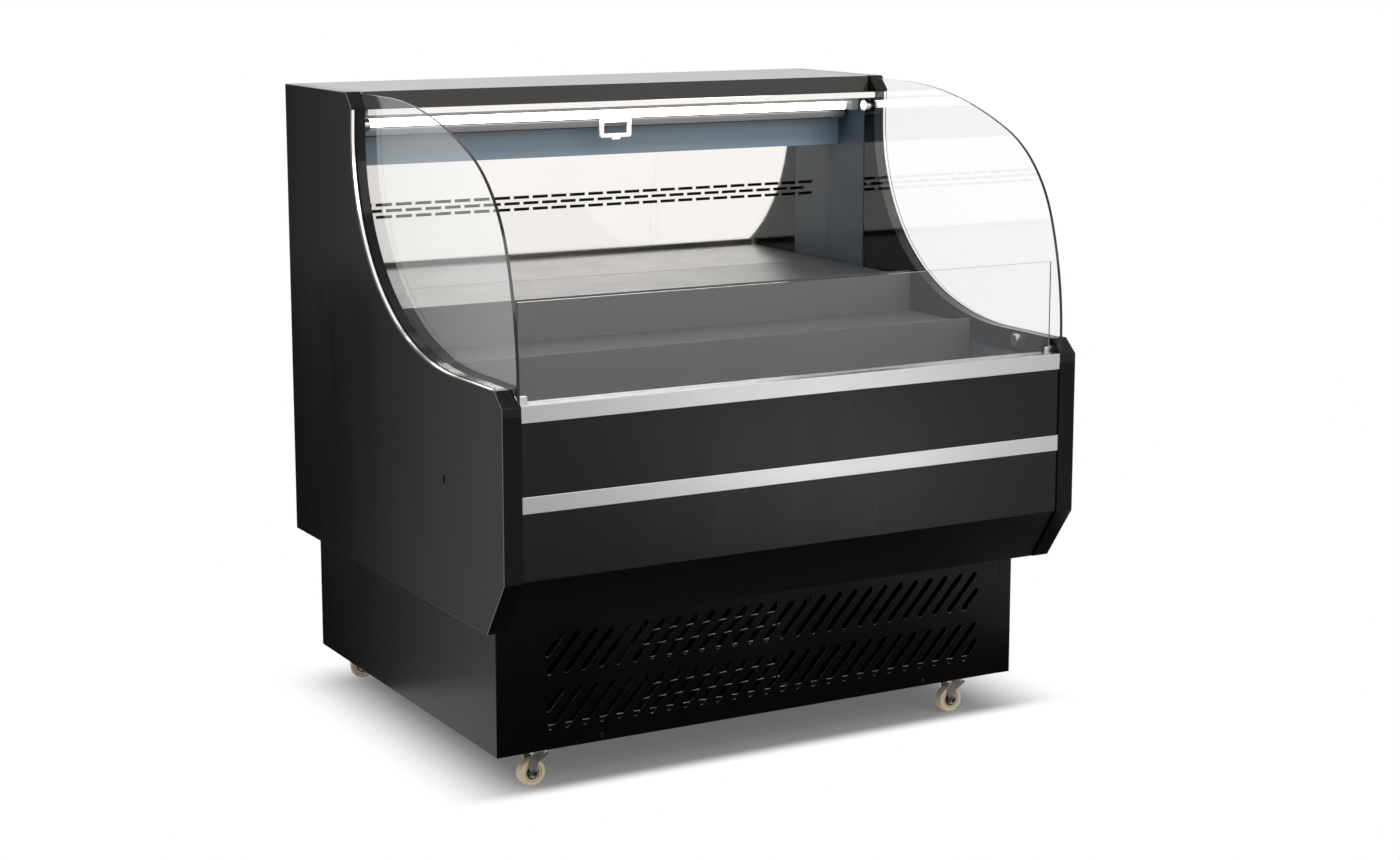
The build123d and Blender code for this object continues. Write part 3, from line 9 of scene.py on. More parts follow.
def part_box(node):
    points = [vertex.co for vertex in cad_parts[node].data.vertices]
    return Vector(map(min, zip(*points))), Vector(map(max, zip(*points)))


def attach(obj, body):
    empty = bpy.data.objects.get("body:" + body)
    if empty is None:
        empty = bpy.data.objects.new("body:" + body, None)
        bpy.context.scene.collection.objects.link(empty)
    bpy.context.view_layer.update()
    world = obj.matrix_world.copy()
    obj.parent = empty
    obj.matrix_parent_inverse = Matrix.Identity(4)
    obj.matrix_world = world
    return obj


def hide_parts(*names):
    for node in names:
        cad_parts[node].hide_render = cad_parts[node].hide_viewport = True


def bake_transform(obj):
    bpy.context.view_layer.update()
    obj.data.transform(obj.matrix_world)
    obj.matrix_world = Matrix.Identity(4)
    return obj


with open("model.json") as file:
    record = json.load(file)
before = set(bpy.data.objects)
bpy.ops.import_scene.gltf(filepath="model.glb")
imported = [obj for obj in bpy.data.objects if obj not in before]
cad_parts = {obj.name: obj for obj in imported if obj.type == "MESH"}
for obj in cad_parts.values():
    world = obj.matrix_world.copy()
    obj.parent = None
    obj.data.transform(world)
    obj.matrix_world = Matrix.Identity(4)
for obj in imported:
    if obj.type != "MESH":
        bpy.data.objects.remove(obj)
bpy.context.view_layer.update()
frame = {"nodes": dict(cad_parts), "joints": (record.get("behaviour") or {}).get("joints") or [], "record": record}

bl_info = {
    "name": "Multideck fridge finishes",
    "version": (1, 0, 0),
    "blender": (4, 5, 0),
    "location": "View3D > Sidebar > Fridge",
    "description": "Finishes, small fittings and a studio for an open multideck display fridge",
    "category": "Object",
}

ROOT = "cabinet"
FRONT = -0.5  # y of the front face in metres
MM = 0.001
QUARTER = math.pi / 2
CORNERS = ("front_left", "front_right", "rear_left", "rear_right")


# ------------------------------------------------------------------ settings
def colour(label, text, value):
    """A colour setting."""
    return bpy.props.FloatVectorProperty(
        name=label, description=text, subtype="COLOR", size=3, min=0, max=1, default=value
    )


def length(label, text, value):
    """A size setting in metres."""
    return bpy.props.FloatProperty(
        name=label, description=text, subtype="DISTANCE", unit="LENGTH", min=0, default=value
    )


def level(label, text, value):
    """A brightness or power setting."""
    return bpy.props.FloatProperty(name=label, description=text, min=0, default=value)


class FridgeColours(bpy.types.PropertyGroup):
    """Colours of the fridge's finishes."""

    cabinet: colour("Cabinet", "Satin paint of the ends and rear", (0.0024, 0.0024, 0.0026))
    front: colour("Front panels", "Satin paint of the front panels", (0.0045, 0.0045, 0.0047))
    skirt: colour("Skirt", "Paint of the angled skirt and base", (0.0018, 0.0018, 0.002))
    roof: colour("Roof", "Paint of the flat roof", (0.44, 0.44, 0.44))
    trim: colour("Trims", "Brushed steel of the front trims", (0.375, 0.37, 0.372))
    polished: colour("Polished steel", "Rims, rail and rear wall", (0.95, 0.915, 0.885))
    liner: colour("Liner", "Slate paint of the cold well", (0.055, 0.072, 0.088))
    # Painted light: the liner's slate made about 3.7 times lighter for the shelf lamp's light on this face.
    duct_lamp_lit: colour("Duct face", "Slate paint of the air duct over the decks", (0.2, 0.27, 0.33))
    deck: colour("Decks", "Paint of the decks", (0.07, 0.075, 0.08))
    glass_edge: colour("Glass edge", "Dark polished edge of the panes", (0.002, 0.004, 0.0036))
    coil: colour("Coil", "Enamel of the condenser", (0.012, 0.012, 0.012))
    caster: colour("Casters", "Zinc plate of the forks", (0.42, 0.41, 0.39))
    wheel: colour("Wheels", "Caster wheel rubber", (0.56, 0.47, 0.34))
    cloth: colour("Blind cloth", "Woven cloth of the night blind", (0.3, 0.31, 0.33))


class FridgeSizes(bpy.types.PropertyGroup):
    """Sizes of the small pieces added to the cabinet."""

    screw_head: length("Screw head", "Radius of a pan head", 0.0045)
    screw_rise: length("Screw rise", "Height of a pan head", 0.0018)
    cross_slot: length("Cross slot", "Width of a screw's recess arm", 0.0011)
    fin_pitch: length("Fin pitch", "Spacing of the condenser fins", 0.0029)
    tube_radius: length("Coil tube", "Radius of the condenser tubes", 0.004)
    cell: length("Air cell", "Width across one cell of the air straightener", 0.0062)
    cell_wall: length("Cell wall", "Wall thickness of the air straightener", 0.0005)
    cloth_wall: length("Cloth thickness", "Thickness of the blind's cloth", 0.0006)
    paint_edge: length("Folded edge", "Rounding of folded sheet edges", 0.0008)


class FridgeStage(bpy.types.PropertyGroup):
    """Studio around the fridge."""

    sky: level("Sky light", "Level of the even studio light", 0.75)
    key: level("Key lamp", "Power of the large lamp over the front", 45.0)
    side: level("Side lamp", "Power of the lamp beside the left end", 30.0)
    tube: level("Shelf lamp", "Brightness of the fridge's own lamp", 9.0)
    glow: level("Front glow", "Brightness of the pale card mirrored in the front", 7.0)
    shade: level("Shade", "Brightness of the dark cards mirrored in the paint", 0.03)


# ------------------------------------------------------------------ modelling helpers
BEVEL_STEPS = 2
SHARP_ANGLE = 30  # degrees from which an edge is rounded
END_FACING = 0.9  # share of a face's normal along z from which it is an end
HEXAGON = 6


def deselect():
    """Object mode with nothing selected."""
    if bpy.context.mode != "OBJECT":
        bpy.ops.object.mode_set(mode="OBJECT")
    bpy.ops.object.select_all(action="DESELECT")


def take(*pieces):
    """Select some pieces alone and make the first one active."""
    deselect()
    for piece in pieces:
        piece.select_set(True)
    bpy.context.view_layer.objects.active = pieces[0]


def edit(everything=False):
    """Edit mode on the active piece, with all of it selected where asked."""
    bpy.ops.object.mode_set(mode="EDIT")
    if everything:
        bpy.ops.mesh.select_all(action="SELECT")


def leave():
    """Back from edit mode."""
    bpy.ops.object.mode_set(mode="OBJECT")


def settle(piece):
    """Apply a piece's modifiers and put its place into its mesh."""
    take(piece)
    for modifier in list(piece.modifiers):
        bpy.ops.object.modifier_apply(modifier=modifier.name)
    bpy.ops.object.transform_apply(location=True, rotation=True, scale=True)


def named(name):
    """The active object under a new name."""
    piece = bpy.context.object
    piece.name = name
    piece.data.name = name
    return piece


def joined(pieces, name):
    """Join pieces into one under a name."""
    take(*pieces)
    bpy.ops.object.join()
    return named(name)


def copy_to(piece, spots, name):
    """Join copies of a piece, each turned and placed by a matrix, under one name."""
    copies = []
    for spot in spots:
        twin = piece.copy()
        twin.data = piece.data.copy()
        twin.data.transform(spot)
        bpy.context.scene.collection.objects.link(twin)
        copies.append(twin)
    return joined(copies, name)


def drop(*pieces):
    """Remove blanks and cutters that have done their work."""
    for piece in pieces:
        bpy.data.objects.remove(piece)


def smooth(degrees):
    """Shade the selected piece smooth but for edges sharper than an angle."""
    bpy.ops.object.shade_smooth_by_angle(angle=math.radians(degrees))


def soften(piece, width):
    """Round a piece's sharp edges with a live bevel."""
    bevel = piece.modifiers.new("Rounded edges", "BEVEL")
    bevel.width = width
    bevel.segments = BEVEL_STEPS
    bevel.limit_method = "ANGLE"
    bevel.angle_limit = math.radians(SHARP_ANGLE)


def repeat_x(piece, count, step):
    """Repeat a piece along x."""
    row = piece.modifiers.new("Row", "ARRAY")
    row.count = count
    row.use_relative_offset = False
    row.use_constant_offset = True
    row.constant_offset_displace = (step, 0, 0)
    settle(piece)


def inset_ends(piece, wall, both=False):
    """In edit mode, select the top of a piece, or its two ends, and inset it."""
    shape = bmesh.from_edit_mesh(piece.data)
    for face in shape.faces:
        face.select_set(False)
    for face in shape.faces:
        rise = abs(face.normal.z) if both else face.normal.z
        if rise > END_FACING:
            face.select_set(True)
    bmesh.update_edit_mesh(piece.data)
    bpy.ops.mesh.inset(thickness=wall)


def pierce(piece, wall):
    """Open a piece from end to end along z, leaving a wall."""
    edit()
    inset_ends(piece, wall, both=True)
    bpy.ops.mesh.bridge_edge_loops()
    leave()


def bevelled_block(name, x, y, z, bevel, segments=1):
    """A block with every edge bevelled, in millimetres; y counts back from the front."""
    deselect()
    middle = (sum(x) / 2 * MM, FRONT + sum(y) / 2 * MM, sum(z) / 2 * MM)
    bpy.ops.mesh.primitive_cube_add(size=1, location=middle)
    piece = named(name)
    piece.scale = [(high - low) * MM for low, high in (x, y, z)]
    settle(piece)
    edit(everything=True)
    bpy.ops.mesh.bevel(offset=bevel * MM, segments=segments)
    leave()
    return piece


def paint(piece, material):
    """Give a piece one material."""
    piece.data.materials.clear()
    piece.data.materials.append(material)


def rides(piece, body, slot, finish=None, replaced=()):
    """Give a piece the finish of its slot or the one named, put it on its body and hide the CAD nodes it stands
    for.
    """
    paint(piece, MATERIALS[finish or slot])
    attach(piece, body)
    if replaced:
        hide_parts(*replaced)


# ------------------------------------------------------------------ shader wiring
class Wiring:
    """Adds nodes to one shader tree; most methods return the new node's output."""

    def __init__(self, tree):
        self.tree = tree

    def node(self, kind):
        """A new node itself, for what the other methods don't cover."""
        return self.tree.nodes.new("ShaderNode" + kind)

    def feed(self, socket, value):
        """Put a number, a colour or another node's output into a socket."""
        if isinstance(value, bpy.types.NodeSocket):
            self.tree.links.new(value, socket)
        elif socket.type == "RGBA":
            socket.default_value = (*value, 1)
        else:
            socket.default_value = value

    def feed_all(self, node, values):
        """Fill a node's inputs by their names or numbers."""
        for label, value in values.items():
            self.feed(node.inputs[label], value)

    def math(self, kind, a, b=0.5, clamp=False):
        """A sum, product, comparison or the like of one or two values."""
        node = self.node("Math")
        node.operation = kind
        node.use_clamp = clamp
        self.feed_all(node, {0: a, 1: b})
        return node.outputs[0]

    def times(self, a, b):
        """The product of two values."""
        return self.math("MULTIPLY", a, b)

    def rest(self, share):
        """What is left of one."""
        return self.math("SUBTRACT", 1.0, share)

    def size(self, value):
        """A value without its sign."""
        return self.math("ABSOLUTE", value)

    def shares(self, total, *parts):
        """A total plus each (value - 0.5) times its share."""
        for value, share in parts:
            centred = self.math("SUBTRACT", value, 0.5)
            total = self.math("ADD", total, self.times(centred, share))
        return total

    def mix(self, factor, a, b, kind="MIX"):
        """Two colours mixed or blended."""
        node = self.node("Mix")
        node.data_type = "RGBA"
        node.blend_type = kind
        self.feed_all(node, {0: factor, 6: a, 7: b})
        return node.outputs[2]

    def step(self, value, low, high):
        """Smooth 0 to 1 step of a value between two limits."""
        node = self.node("MapRange")
        node.interpolation_type = "SMOOTHSTEP"
        self.feed_all(node, {"Value": value, "From Min": low, "From Max": high})
        return node.outputs[0]

    def point(self, stretch=None):
        """Object coordinates, stretched by a vector."""
        spot = self.node("TexCoord").outputs["Object"]
        if stretch is None:
            return spot
        node = self.node("VectorMath")
        node.operation = "MULTIPLY"
        self.feed_all(node, {0: spot, 1: stretch})
        return node.outputs[0]

    def axes(self, vector):
        """X, Y and Z of a vector."""
        node = self.node("SeparateXYZ")
        self.feed(node.inputs[0], vector)
        return node.outputs

    def facing(self):
        """X, Y and Z of the surface's direction."""
        return self.axes(self.node("NewGeometry").outputs["Normal"])

    def noise(self, vector, scale, detail=3.0, rough=0.55):
        """Noise value at a point."""
        node = self.node("TexNoise")
        self.feed_all(node, {"Vector": vector, "Scale": scale, "Detail": detail,
                             "Roughness": rough})
        return node.outputs["Fac"]


def mirrored(wiring, rays):
    """One for what mirrors and glass show, nothing for the light itself."""
    return wiring.math("MAXIMUM", rays["Is Glossy Ray"], rays["Is Transmission Ray"])


# ------------------------------------------------------------------ shader groups
SOCKET_KINDS = {"Colour": "NodeSocketColor", "Grain": "NodeSocketVector"}
DUST_COLOUR = (0.45, 0.43, 0.4)
DUST_FACING = (0.6, 1.0)
DUST_SPECKS = (0.45, 0.75)
SPECK_SCALE = 160.0
CLOUD_SCALE = 2.3
WIPE_STRETCH = (9.0, 9.0, 1.4)
STAIN_SCALE = 6.0
MARK_SCALE = 35.0
FROST_SCALE = 700.0
SLUB_STRETCH = (40.0, 40.0, 700.0)


def new_group(name, **inputs):
    """An empty group for a surface's detail, with its inputs and its outputs."""
    tree = bpy.data.node_groups.new(name, "ShaderNodeTree")
    ends = [(label.replace("_", " "), "INPUT", value) for label, value in inputs.items()]
    ends += [(label, "OUTPUT", None) for label in ("Colour", "Roughness", "Height")]
    for label, side, value in ends:
        kind = SOCKET_KINDS.get(label, "NodeSocketFloat")
        socket = tree.interface.new_socket(label, in_out=side, socket_type=kind)
        if value is not None:
            socket.default_value = value
    given = tree.nodes.new("NodeGroupInput").outputs
    return Wiring(tree), given, tree.nodes.new("NodeGroupOutput")


def coat_group():
    """Sprayed or powder-coated sheet: orange peel, faint clouding, settled dust."""
    w, given, out = new_group("Coated sheet", Colour=(0.02, 0.02, 0.02, 1), Roughness=0.4,
                              Peel_Scale=900.0, Clouding=0.2, Dust=0.1)
    point = w.point()
    peel = w.noise(point, given["Peel Scale"], detail=2.0)
    cloud = w.noise(point, CLOUD_SCALE, detail=4.0)
    wipe = w.noise(w.point(WIPE_STRETCH), 1.0, detail=5.0, rough=0.62)
    tint = w.shares(1.0, (cloud, given["Clouding"]), (peel, 0.08))
    shaded = w.mix(1.0, given["Colour"], tint, "MULTIPLY")
    up = w.step(w.facing()["Z"], *DUST_FACING)
    speck = w.step(w.noise(point, SPECK_SCALE, detail=4.0), *DUST_SPECKS)
    dust = w.times(w.times(up, speck), given["Dust"])
    rough = w.shares(given["Roughness"], (wipe, 0.16), (peel, 0.05))
    w.feed_all(out, {"Colour": w.mix(dust, shaded, DUST_COLOUR), "Height": peel,
                     "Roughness": w.math("ADD", rough, dust, True)})
    return w.tree


def brushed_group():
    """Brushed or drawn metal: long scratches, faint stains, tiny grain."""
    w, given, out = new_group("Brushed metal", Colour=(0.7, 0.7, 0.7, 1), Roughness=0.3,
                              Grain=(2.0, 900.0, 900.0), Streaks=0.25, Stains=0.1)
    streak = w.noise(w.point(given["Grain"]), 1.0, detail=4.0, rough=0.7)
    stain = w.noise(w.point(), STAIN_SCALE, detail=5.0)
    tint = w.shares(1.0, (streak, given["Streaks"]), (stain, given["Stains"]))
    w.feed_all(out, {"Colour": w.mix(1.0, given["Colour"], tint, "MULTIPLY"),
                     "Roughness": w.shares(given["Roughness"], (streak, 0.18), (stain, 0.08)),
                     "Height": streak})
    return w.tree


def moulded_group():
    """Moulded plastic or rubber: spark-eroded grain and handling marks."""
    w, given, out = new_group("Moulded surface", Colour=(0.02, 0.02, 0.02, 1), Roughness=0.5,
                              Grain_Scale=1400.0, Marks=0.2)
    point = w.point()
    grain = w.noise(point, given["Grain Scale"], detail=2.0)
    marks = w.noise(point, MARK_SCALE, detail=6.0, rough=0.7)
    tint = w.shares(1.0, (marks, given["Marks"]), (grain, 0.12))
    w.feed_all(out, {"Colour": w.mix(1.0, given["Colour"], tint, "MULTIPLY"),
                     "Roughness": w.shares(given["Roughness"], (marks, 0.2), (grain, 0.08)),
                     "Height": grain})
    return w.tree


def spangle_group():
    """Galvanised sheet: pale crystals of slightly different sheen."""
    w, given, out = new_group("Zinc spangle", Colour=(0.5, 0.51, 0.52, 1), Roughness=0.4,
                              Crystal_Scale=90.0)
    crystal = w.node("TexVoronoi")
    w.feed_all(crystal, {"Vector": w.point(), "Scale": given["Crystal Scale"]})
    grey = w.node("RGBToBW")
    w.feed(grey.inputs[0], crystal.outputs["Color"])
    crystals = grey.outputs[0]
    fine = w.noise(w.point(), FROST_SCALE)
    tint = w.shares(1.0, (crystals, 0.3), (fine, 0.1))
    w.feed_all(out, {"Colour": w.mix(1.0, given["Colour"], tint, "MULTIPLY"),
                     "Roughness": w.shares(given["Roughness"], (crystals, 0.25)),
                     "Height": fine})
    return w.tree


def weave_group():
    """Plain-woven cloth: crossing threads with slubs."""
    w, given, out = new_group("Plain weave", Colour=(0.3, 0.3, 0.3, 1), Roughness=0.85,
                              Threads_per_Metre=830.0)
    place = w.axes(w.point())
    turn = w.times(given["Threads per Metre"], math.pi)
    warp = w.math("SINE", w.times(place["X"], turn))
    weft = w.math("SINE", w.times(place["Z"], turn))
    height = w.shares(0.5, (w.math("ADD", w.times(warp, weft), 0.5), 0.5))
    slub = w.noise(w.point(SLUB_STRETCH), 1.0)
    tint = w.shares(0.95, (height, 0.5), (slub, 0.25))
    w.feed_all(out, {"Colour": w.mix(1.0, given["Colour"], tint, "MULTIPLY"),
                     "Roughness": w.shares(given["Roughness"], (slub, 0.1)),
                     "Height": height})
    return w.tree


# Each kind of surface: its group, the depth of its bump in metres, its usual values.
KINDS = {
    "coat": (coat_group, 0.0003, {}),
    "brushed": (brushed_group, 0.0002, {"Metallic": 1.0}),
    "moulded": (moulded_group, 0.0002, {}),
    "spangle": (spangle_group, 0.0002, {"Metallic": 0.9}),
    "weave": (weave_group, 0.0004, {}),
}
GROUPS = {}


# ------------------------------------------------------------------ materials
def shade_of(colour):
    """A colour from one of the fridge's colour settings, a grey level or a colour."""
    if isinstance(colour, str):
        colour = getattr(bpy.context.scene.fridge_colours, colour)
    elif isinstance(colour, float):
        colour = (colour, colour, colour)
    return tuple(colour)


def new_material(name, plain=False):
    """A material with its wiring; a plain one starts without a shader."""
    material = bpy.data.materials.new(name)
    material.use_nodes = True
    if plain:
        material.node_tree.nodes.clear()
    return material, Wiring(material.node_tree)


def surface(name, kind, colour, rough, bump, values=None, depth=None):
    """A material: one shader group feeding a Principled shader through a bump."""
    maker, usual_depth, usual_values = KINDS[kind]
    if kind not in GROUPS:
        GROUPS[kind] = maker()
    material, w = new_material(name)
    shader = w.tree.nodes["Principled BSDF"]
    detail = w.node("Group")
    detail.node_tree = GROUPS[kind]
    w.feed_all(detail, {"Colour": shade_of(colour), "Roughness": rough})
    for label, value in {**usual_values, **(values or {})}.items():
        home = detail if label in detail.inputs else shader
        home.inputs[label].default_value = value
    relief = w.node("Bump")
    w.feed_all(relief, {"Strength": bump, "Distance": depth or usual_depth,
                        "Height": detail.outputs["Height"]})
    w.feed_all(shader, {"Base Color": detail.outputs["Colour"],
                        "Roughness": detail.outputs["Roughness"],
                        "Normal": relief.outputs["Normal"]})
    return material


END_PANE_X = 0.56  # further out than this is an end pane
PANE_FACING = (0.5, 0.95)
PANE_TINT = (0.985, 0.995, 0.99)
PANE_EDGE_ROUGH = 0.12
PANE_SHADOW = 0.08
SMEAR_STRETCH = (5.0, 5.0, 2.0)
SMEAR_RANGE = (0.5, 0.9)
SMEAR_COAT = 0.2


def glass_material():
    """Clear toughened glass: a greenish dark edge and faint wiping marks."""
    material, w = new_material("Clear pane")
    facing = w.facing()
    end_pane = w.math("GREATER_THAN", w.size(w.axes(w.point())["X"]), END_PANE_X)
    end_face = w.times(w.size(facing["X"]), end_pane)
    front_face = w.times(w.size(facing["Y"]), w.rest(end_pane))
    edge = w.rest(w.step(w.math("ADD", end_face, front_face), *PANE_FACING))
    smear = w.noise(w.point(SMEAR_STRETCH), 1.0, detail=6.0, rough=0.7)
    shadow = w.node("LightPath").outputs["Is Shadow Ray"]
    w.feed_all(w.tree.nodes["Principled BSDF"], {
        "Base Color": w.mix(edge, PANE_TINT, shade_of("glass_edge")),
        "Transmission Weight": 1.0,
        "IOR": 1.45,
        "Roughness": w.times(edge, PANE_EDGE_ROUGH),
        "Coat Weight": w.times(w.step(smear, *SMEAR_RANGE), SMEAR_COAT),
        "Coat Roughness": 0.15,
        "Alpha": w.rest(w.times(shadow, 1.0 - PANE_SHADOW)),
    })
    return material


# Painted highlight: a grey base colour on the rounded edges of the end panels, found by their normals.
PAINTED_EDGE_HIGHLIGHT = 0.13
HIGHLIGHT_EDGE_STARTS = (0.1, 0.35)
HIGHLIGHT_EDGE_ENDS = (0.82, 0.97)


def painted_edge_highlights(w, detail):
    """Rounded edges of an end panel get a lighter base colour, a painted highlight line."""
    across = w.size(w.facing()["X"])
    edge = w.times(w.step(across, *HIGHLIGHT_EDGE_STARTS), w.rest(w.step(across, *HIGHLIGHT_EDGE_ENDS)))
    return {"Base Color": w.mix(edge, detail["Colour"], shade_of(PAINTED_EDGE_HIGHLIGHT))}


# Painted glint: bright bare metal only where the grille faces up.
BARE_METAL_PAINTED_GLINT = (0.9, 0.9, 0.88)
PAINTED_GLINT_FACING = (0.25, 0.6)


def bare_cuts_painted_glints(w, detail):
    """Up-facing faces of the base grille, the lower ends of its slots among them, turn bright bare metal: partly
    bare cut edges, partly a painted glint.
    """
    up_faces_glint = w.step(w.facing()["Z"], *PAINTED_GLINT_FACING)
    return {"Base Color": w.mix(up_faces_glint, detail["Colour"], BARE_METAL_PAINTED_GLINT),
            "Metallic": up_faces_glint}


RIM_GROOVE_X = 0.5874
RIM_LIP_X = 0.5921
# Painted shade: near black colour for the rim's channel.
GROOVE_PAINTED_SHADE = 0.002
GROOVE_ROUGH = 0.5


def rim_bands(w, detail):
    """A dark polished rim has a bright outer lip; its inner channel is painted near black and matt, a painted
    shade.
    """
    across = w.size(w.axes(w.point())["X"])
    lip = w.math("GREATER_THAN", across, RIM_LIP_X)
    painted_shade_groove = w.math("SUBTRACT", w.math("GREATER_THAN", across, RIM_GROOVE_X), lip)
    shade = w.mix(painted_shade_groove, detail["Colour"], shade_of(GROOVE_PAINTED_SHADE))
    return {"Base Color": w.mix(lip, shade, shade_of("polished")),
            "Metallic": lip,
            "Roughness": w.math("ADD", detail["Roughness"], w.times(painted_shade_groove, GROOVE_ROUGH), True)}


UNDERSIDE_FACING = (0.5, 0.9)
UNDERSIDE_CALM = 0.6


def duct_bands(w, detail):
    """The canopy liner has a slate face, painted lighter than the liner for the lamp's light on it, and is
    polished where it faces up or down.
    """
    under = w.step(w.size(w.facing()["Z"]), *UNDERSIDE_FACING)
    return {"Base Color": w.mix(under, detail["Colour"], shade_of("polished")),
            "Metallic": under,
            "Roughness": w.times(detail["Roughness"], w.rest(w.times(under, UNDERSIDE_CALM)))}


TUBE_GLASS_X = 0.533  # the glow ends a millimetre inside the ferrules
LAMP_COLOUR = (1.0, 0.985, 0.96)


def lamp_glow(w, detail):
    """The frosted lamp tube glows between two grey ferrules."""
    inside = w.math("LESS_THAN", w.size(w.axes(w.point())["X"]), TUBE_GLASS_X)
    return {"Emission Color": w.mix(inside, shade_of(0.0), LAMP_COLOUR),
            "Emission Strength": bpy.context.scene.fridge_stage.tube}


REWORKED = {
    "panel_black": painted_edge_highlights,
    "grille_paint": bare_cuts_painted_glints,
    "rim_polished": rim_bands,
    "duct_face": duct_bands,
    "lamp_white": lamp_glow,
}

SHINE = "Specular IOR Level"
DRAWN_X = {"Grain": (2.0, 900.0, 900.0)}

